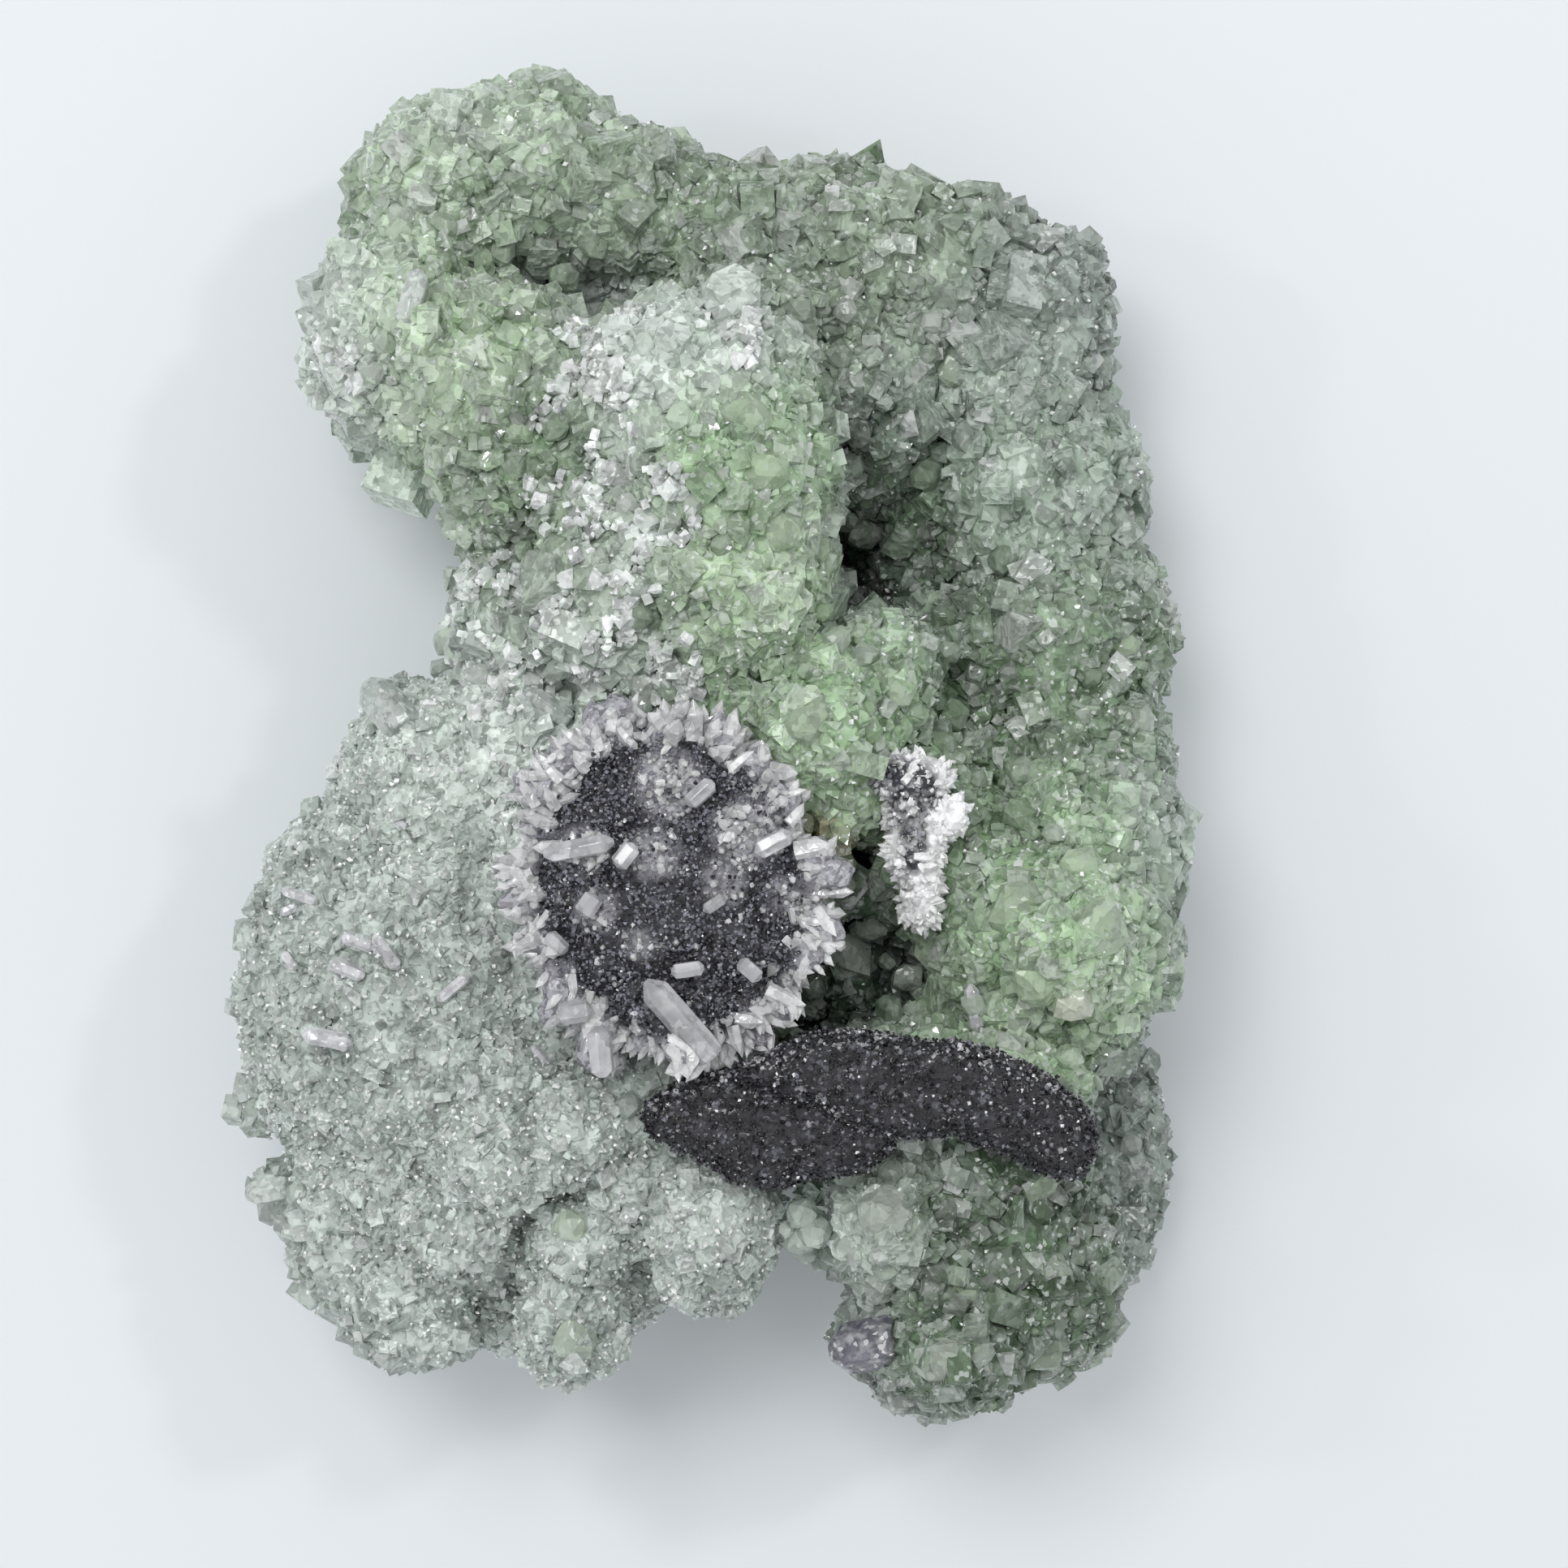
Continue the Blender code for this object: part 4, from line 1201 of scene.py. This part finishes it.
@dataclass
class Rosette:
    """The oval druse with its pale fringe.

    Attributes:
        voxel: Mesh size of the druse.
        centre: Its plan centre.
        radii: Its plan radii, out to the fringe's tips.
        turn: Its turn in degrees.
        bump: Distance between the druse's bumps.
        bump_height: Their height.
        fringe_widths: Least and largest half width of the fringe's points.
        patch_widths: Least and largest half width of the points in the pale patches.
    """

    voxel: float = 0.45
    centre: tuple[float, float] = (-3.4, -12.4)
    radii: tuple[float, float] = (13.0, 15.0)
    turn: float = 18.0
    bump: float = 1.5
    bump_height: float = 0.5
    fringe_widths: tuple[float, float] = (0.32, 0.66)
    patch_widths: tuple[float, float] = (0.16, 0.3)

    def build(self) -> None:
        """Builds the druse in place of its plain solid, then its crystals."""
        skin = node_copy("quartz_rosette", "rosette_druse", self.voxel, 1)
        points, normals = points_of(skin)
        points += normals * self.bump_height * (cell_bumps(points, self.bump, 3)[:, None] - 0.5)
        depth = inside(points, self.centre, self.radii, self.turn)
        pale = self.pale(points, depth)[:, None]
        dress(skin, points, 0.6 * pale * linear(Hue.VIOLET_MILK) + (1 - pale) * linear(Hue.COAL), DRUSE)
        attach(skin, "root")
        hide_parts("quartz_rosette")
        log.info("rosette_druse: %d faces", len(skin.data.polygons))
        self.fringe(points, normals, depth)
        self.face(points, normals, depth)
        ground = tree_of(skin)
        Prism(twin=True).lay("rosette_points", ROSETTE_POINTS, ground, QUARTZ_CLEAR, 2)
        sharp = Prism(twin=False, shoulder=0.72, tip=0.2)
        sharp.lay("rosette_long_point", LONG_POINT, ground, QUARTZ_CLEAR, 5)

    def pale(self, points: np.ndarray, depth: np.ndarray) -> np.ndarray:
        """How much of the pale quartz grew at each point: most round the rim, and in patches.

        Args:
            points: Points of the druse, in millimetres.
            depth: How far each is from the rim, 0 at the rim.

        Returns:
            0 to 1, one a point.
        """
        ragged = depth + 0.12 * (cell_bumps(points, 2.2, 34) - 0.5)
        pale = np.clip(1 - (ragged - 0.1) * 10, 0, 1)
        for x, y, reach, thick in FACE_PATCHES:
            pale = np.maximum(pale, thick * np.clip(inside(points, (x, y), (reach, reach)) * 2.2, 0, 1))
        return pale

    def fringe(self, points: np.ndarray, normals: np.ndarray, depth: np.ndarray) -> None:
        """Adds the pale points round the rim, longer towards its edge.

        Args:
            points: Points of the druse, in millimetres.
            normals: Their normals.
            depth: How far each is from the rim, 0 at the rim.
        """
        rng = np.random.default_rng(31)
        near = np.clip(1.15 - 6.0 * np.abs(depth - 0.04), 0, 1)
        rim = (normals[:, 2] > -0.3) & (rng.uniform(size=len(points)) < 0.14 * near)
        seeds, edge = points[rim], np.clip(1 - depth[rim] / 0.25, 0.2, 1)
        out = (seeds - SHIFT)[:, :2] - np.array(self.centre)
        out /= np.linalg.norm(out, axis=1, keepdims=True)
        axes = np.concatenate([out * edge[:, None], rng.uniform(0.1, 1.2, (len(seeds), 1))], 1)
        axes = tilted(axes, rng, 0.5)
        wide = rng.uniform(*self.fringe_widths, len(seeds))
        wide *= np.where(rng.uniform(size=len(seeds)) < 0.12, 1.5, 1.0)
        sizes = np.stack([wide, wide, wide * rng.uniform(1.3, 1.9, len(seeds)) + 0.4 * edge], 1)
        tints = varied(plain(Hue.GLINT, len(seeds)) * (0.75 + 0.35 * edge[:, None]), rng, 0.35, 2.0)
        fringe = Grains(Form.POINT, seeds + axes * 0.3, axes, sizes, tints, 8)
        piece_from("rosette_fringe", [fringe], QUARTZ)

    def face(self, points: np.ndarray, normals: np.ndarray, depth: np.ndarray) -> None:
        """Adds the pale patches and the fine dark sparkle of the face.

        Args:
            points: Points of the druse, in millimetres.
            normals: Their normals.
            depth: How far each is from the rim, 0 at the rim.
        """
        rng = np.random.default_rng(32)
        shown = (normals[:, 2] > 0.0) & (depth > 0.1)
        seeds, normals, pale = points[shown], normals[shown], self.pale(points, depth)[shown]
        pick = rng.uniform(size=len(seeds)) < 0.02 + 0.2 * pale
        axes = tilted(normals[pick], rng, 0.6)
        wide = rng.uniform(*self.patch_widths, pick.sum()) * (1 + 0.8 * pale[pick])
        sizes = np.stack([wide, wide, wide * rng.uniform(0.9, 1.5, pick.sum())], 1)
        tints = varied(plain(Hue.GLINT, pick.sum()) * 0.65, rng, 0.4, 4.0)
        patches = Grains(Form.POINT, seeds[pick] + axes * 0.2, axes, sizes, tints, 9)
        piece_from("rosette_patches", [patches], QUARTZ)
        druse_sparkle("rosette_sparkle", seeds, normals, 0.9 * (1 - 0.6 * pale), 0.75, 33)


DARK_OR_GREY = 0.95  # share of a druse's tiny crystals that aren't bright


def druse_sparkle(
    name: str, seeds: np.ndarray, normals: np.ndarray, share: np.ndarray | float, grey: float, seed: int
) -> None:
    """Covers a dark druse with tiny crystals: most dark, some grey, a few bright ones that are painted
    glints.

    Args:
        name: Name of the piece.
        seeds: Points of the druse, in millimetres.
        normals: Their normals.
        share: Chance of a crystal at each point.
        grey: Share of the crystals that are grey; most others are dark.
        seed: Seed of the scatter.
    """
    rng = np.random.default_rng(seed)
    pick = rng.uniform(size=len(seeds)) < share
    seeds, normals = seeds[pick], normals[pick]
    radius = rng.uniform(0.1, 0.26, len(seeds))
    places = seeds + rng.normal(0, 0.12, seeds.shape) + normals * (radius * 0.3)[:, None]
    sizes = radius[:, None] * rng.uniform(0.8, 1.4, (len(seeds), 3))
    kind = rng.uniform(size=len(seeds))[:, None]
    plainer = kind < DARK_OR_GREY
    tints = np.where(plainer, linear(Hue.DUST), linear(Hue.MILK))
    tints = np.where(kind < DARK_OR_GREY - grey, linear(Hue.COAL), tints)
    sizes *= np.where(plainer, 1.0, 0.75)
    grains = Grains(Form.SPECK, places, random_directions(rng, len(seeds)), sizes, tints, seed)
    piece_from(name, [grains], DRUSE)


@dataclass
class Blade:
    """The long dark plate with one ledge, sugared along its upper edge and the ledge.

    Attributes:
        voxel: Mesh size of the plate.
        wave: Distance between the plate's low waves.
        wave_height: Their height.
        bump: Distance between the fine bumps on them.
        bump_height: Their height.
        sink: How far the hollows lie under the solid's surface.
        crest_low: Height above which the upper edge is sugared.
        right_end: Plan place from which the right end is sugared.
        crest_radii: Least and largest radius of those crystals.
        ledge: Plan line of the ledge, from its upper to its lower end.
    """

    voxel: float = 0.4
    wave: float = 2.8
    wave_height: float = 0.5
    bump: float = 1.1
    bump_height: float = 0.25
    sink: float = 0.45
    crest_low: float = 46.0
    right_end: float = 28.0
    crest_radii: tuple[float, float] = (0.1, 0.28)
    ledge: tuple[tuple[float, float], ...] = ((4.6, -27.2), (8.0, -29.6), (12.0, -32.0), (16.4, -34.6))

    def build(self) -> None:
        """Builds the plate in place of its plain solid, then its fine crystals."""
        skin = node_copy("druse_blade", "blade_druse", self.voxel, 1)
        points, normals = points_of(skin)
        lift = self.wave_height * cell_bumps(points, self.wave, 4)
        lift += self.bump_height * cell_bumps(points, self.bump, 5)
        points += normals * (lift - self.sink)[:, None]
        dress(skin, points, plain(Hue.COAL, len(points)) * 0.8, DRUSE)
        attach(skin, "root")
        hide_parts("druse_blade")
        log.info("blade_druse: %d faces", len(skin.data.polygons))
        druse_sparkle("blade_sparkle", points, normals, 0.75, 0.1, 41)
        self.crest(points, normals)

    def crest(self, points: np.ndarray, normals: np.ndarray) -> None:
        """Sugars the upper edge, the ledge and the right end with whitish crystals.

        Args:
            points: Points of the plate, in millimetres.
            normals: Their normals.
        """
        rng = np.random.default_rng(42)
        plan = (points - SHIFT)[:, :2]
        ledge = np.full(len(points), 9.0)
        for a, b in zip(self.ledge, self.ledge[1:]):
            a, b = np.array(a), np.array(b)
            along = np.clip(((plan - a) @ (b - a)) / ((b - a) @ (b - a)), 0, 1)[:, None]
            ledge = np.minimum(ledge, np.linalg.norm(plan - a - along * (b - a), axis=1))
        share = 0.22 * ((normals[:, 1] > 0.35) & (points[:, 2] > self.crest_low))
        share = np.maximum(share, 0.16 * (ledge < 0.6) * (normals[:, 2] > 0))
        share = np.maximum(share, 0.04 * (plan[:, 0] > self.right_end))
        pick = rng.uniform(size=len(points)) < share
        seeds, normals = points[pick], normals[pick]
        radius = rng.uniform(*self.crest_radii, len(seeds))
        sizes = radius[:, None] * rng.uniform(0.8, 1.3, (len(seeds), 3))
        tints = varied(plain(Hue.SMOKE, len(seeds)), rng, 0.45, 9.0)
        crest = Grains(Form.BLOCK, seeds, random_directions(rng, len(seeds)), sizes, tints, 43)
        piece_from("blade_crest", [crest], QUARTZ)


@dataclass
class Spur:
    """The small growth right of the rosette: dusted dark above, milky round its edges.

    Attributes:
        voxel: Mesh size of the growth.
        dusted: Plan centre, radii and edge of each dark spot; a higher edge is sharper.
        point_widths: Least and largest half width of its points.
        knob: Plan place and radius of the milky knob on its arm.
    """

    voxel: float = 0.3
    dusted: tuple[tuple[tuple[float, float], tuple[float, float], float], ...] = (
        ((16.8, -4.2), (3.6, 3.4), 4.0),
        ((17.6, -8.6), (1.5, 3.4), 3.0),
    )
    point_widths: tuple[float, float] = (0.2, 0.5)
    knob: tuple[float, float, float] = (21.2, -6.6, 1.2)

    def build(self) -> None:
        """Builds the growth in place of its plain solid, then its crystals."""
        skin = node_copy("quartz_spur", "spur_quartz", self.voxel, 1)
        points, normals = points_of(skin)
        dark = np.zeros(len(points))
        for centre, radii, edge in self.dusted:
            dark = np.maximum(dark, np.clip(inside(points, centre, radii) * edge, 0, 1))
        dark = dark[:, None] * np.clip(normals[:, 2:] * 2.5, 0, 1)
        dress(skin, points, (1 - dark) * linear(Hue.GLINT) * 0.9 + dark * linear(Hue.COAL) * 2, QUARTZ_SNOW)
        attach(skin, "root")
        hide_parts("quartz_spur")
        log.info("spur_quartz: %d faces", len(skin.data.polygons))
        rng = np.random.default_rng(51)
        pick = (normals[:, 2] > -0.2) & (rng.uniform(size=len(points)) < 0.14)
        seeds, axes = points[pick], tilted(normals[pick], rng, 0.5)
        wide = rng.uniform(*self.point_widths, len(seeds))
        sizes = np.stack([wide, wide, wide * rng.uniform(1.1, 2.0, len(seeds))], 1)
        grey = dark[pick] * (rng.uniform(size=(len(seeds), 1)) < 0.85)
        sizes *= 1 - 0.4 * grey
        tints = varied((1 - grey) * linear(Hue.GLINT) * 0.9 + grey * linear(Hue.DUST) * 0.6, rng, 0.2, 6.0)
        grown = Grains(Form.POINT, seeds + axes * 0.2, axes, sizes, tints, 52)
        x, y, radius = self.knob
        spot = np.array([below(tree_of(skin), overhead(x, y)) / MM]) - [0, 0, 0.3]
        size = np.array([[radius, radius, radius * 0.8]])
        knob = Grains(Form.LUMP, spot, np.array([[0, 0, 1.0]]), size, plain(Hue.GLINT, 1), 53)
        piece_from("spur_points", [grown, knob], QUARTZ_SNOW)


@dataclass
class Studio:
    """Pale floor, soft light and the camera that looks straight down on the face.

    Attributes:
        floor_size: Side of the floor, in metres.
        floor_gap: How far it lies under the specimen, in metres.
        sky: Strength of the light from all round.
        lamps: Name, place, side in metres and power in watts of each lamp.
        camera_at: Place of the camera, in the lobes' own millimetres.
        lens: Its focal length, in millimetres.
        sensor: Width of its sensor, in millimetres.
    """

    floor_size: float = 3.0
    floor_gap: float = 0.0002
    sky: float = 0.7
    lamps: tuple[tuple[str, tuple[float, float, float], float, float], ...] = (
        ("key", (-0.2, 0.28, 0.9), 0.34, 2.8),
        ("spark_left", (-0.5, 0.1, 0.6), 0.06, 0.25),
        ("spark_right", (0.4, 0.25, 0.7), 0.06, 0.6),
    )
    camera_at: tuple[float, float, float] = (6.4, -3.6, 430.0)
    lens: float = 102.9
    sensor: float = 36.0

    def build(self) -> None:
        """Sets up the floor, the lights and the camera."""
        bpy.ops.object.select_all(action="DESELECT")
        bpy.ops.mesh.primitive_plane_add(size=self.floor_size, location=(0, 0, -self.floor_gap))
        floor = bpy.context.object
        floor.name = "floor"
        material = bpy.data.materials.new("pale_floor")
        material.use_nodes = True
        shader = material.node_tree.nodes["Principled BSDF"]
        shader.inputs["Base Color"].default_value = (*linear(Hue.FLOOR), 1.0)
        shader.inputs["Roughness"].default_value = 0.9
        floor.data.materials.append(material)
        world = bpy.data.worlds.new("studio")
        bpy.context.scene.world = world
        world.use_nodes = True
        glow = world.node_tree.nodes["Background"]
        glow.inputs["Color"].default_value = (*linear(Hue.SKY), 1.0)
        glow.inputs["Strength"].default_value = self.sky
        for lamp in self.lamps:
            self.lamp(*lamp)
        bpy.context.scene.view_settings.view_transform = "Standard"
        camera = bpy.data.cameras.new("camera")
        camera.lens = self.lens
        camera.sensor_width = self.sensor
        seat = bpy.data.objects.new("camera", camera)
        seat.location = (np.array(self.camera_at) + SHIFT) * MM
        bpy.context.scene.collection.objects.link(seat)
        bpy.context.scene.camera = seat

    def lamp(self, name: str, at: tuple[float, float, float], size: float, power: float) -> None:
        """Adds a square area light aimed at the specimen.

        Args:
            name: Name of the light.
            at: Its place, in metres.
            size: Its side, in metres.
            power: Its power, in watts.
        """
        light = bpy.data.lights.new(name, "AREA")
        light.size, light.energy = size, power
        lamp = bpy.data.objects.new(name, light)
        lamp.location = at
        lamp.rotation_euler = (-Vector(at)).to_track_quat("-Z", "Y").to_euler()
        bpy.context.scene.collection.objects.link(lamp)


def main() -> None:
    """Builds the specimen's pieces in order, then the studio."""
    logging.basicConfig(level=logging.INFO, format="%(message)s")
    covers = [tree_of(frame["nodes"][node]) for node in ("quartz_rosette", "druse_blade", "quartz_spur")]
    Crust(covers=covers).build()
    Rosette().build()
    Blade().build()
    Spur().build()
    Studio().build()
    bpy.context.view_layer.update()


if __name__ == "__main__":
    main()
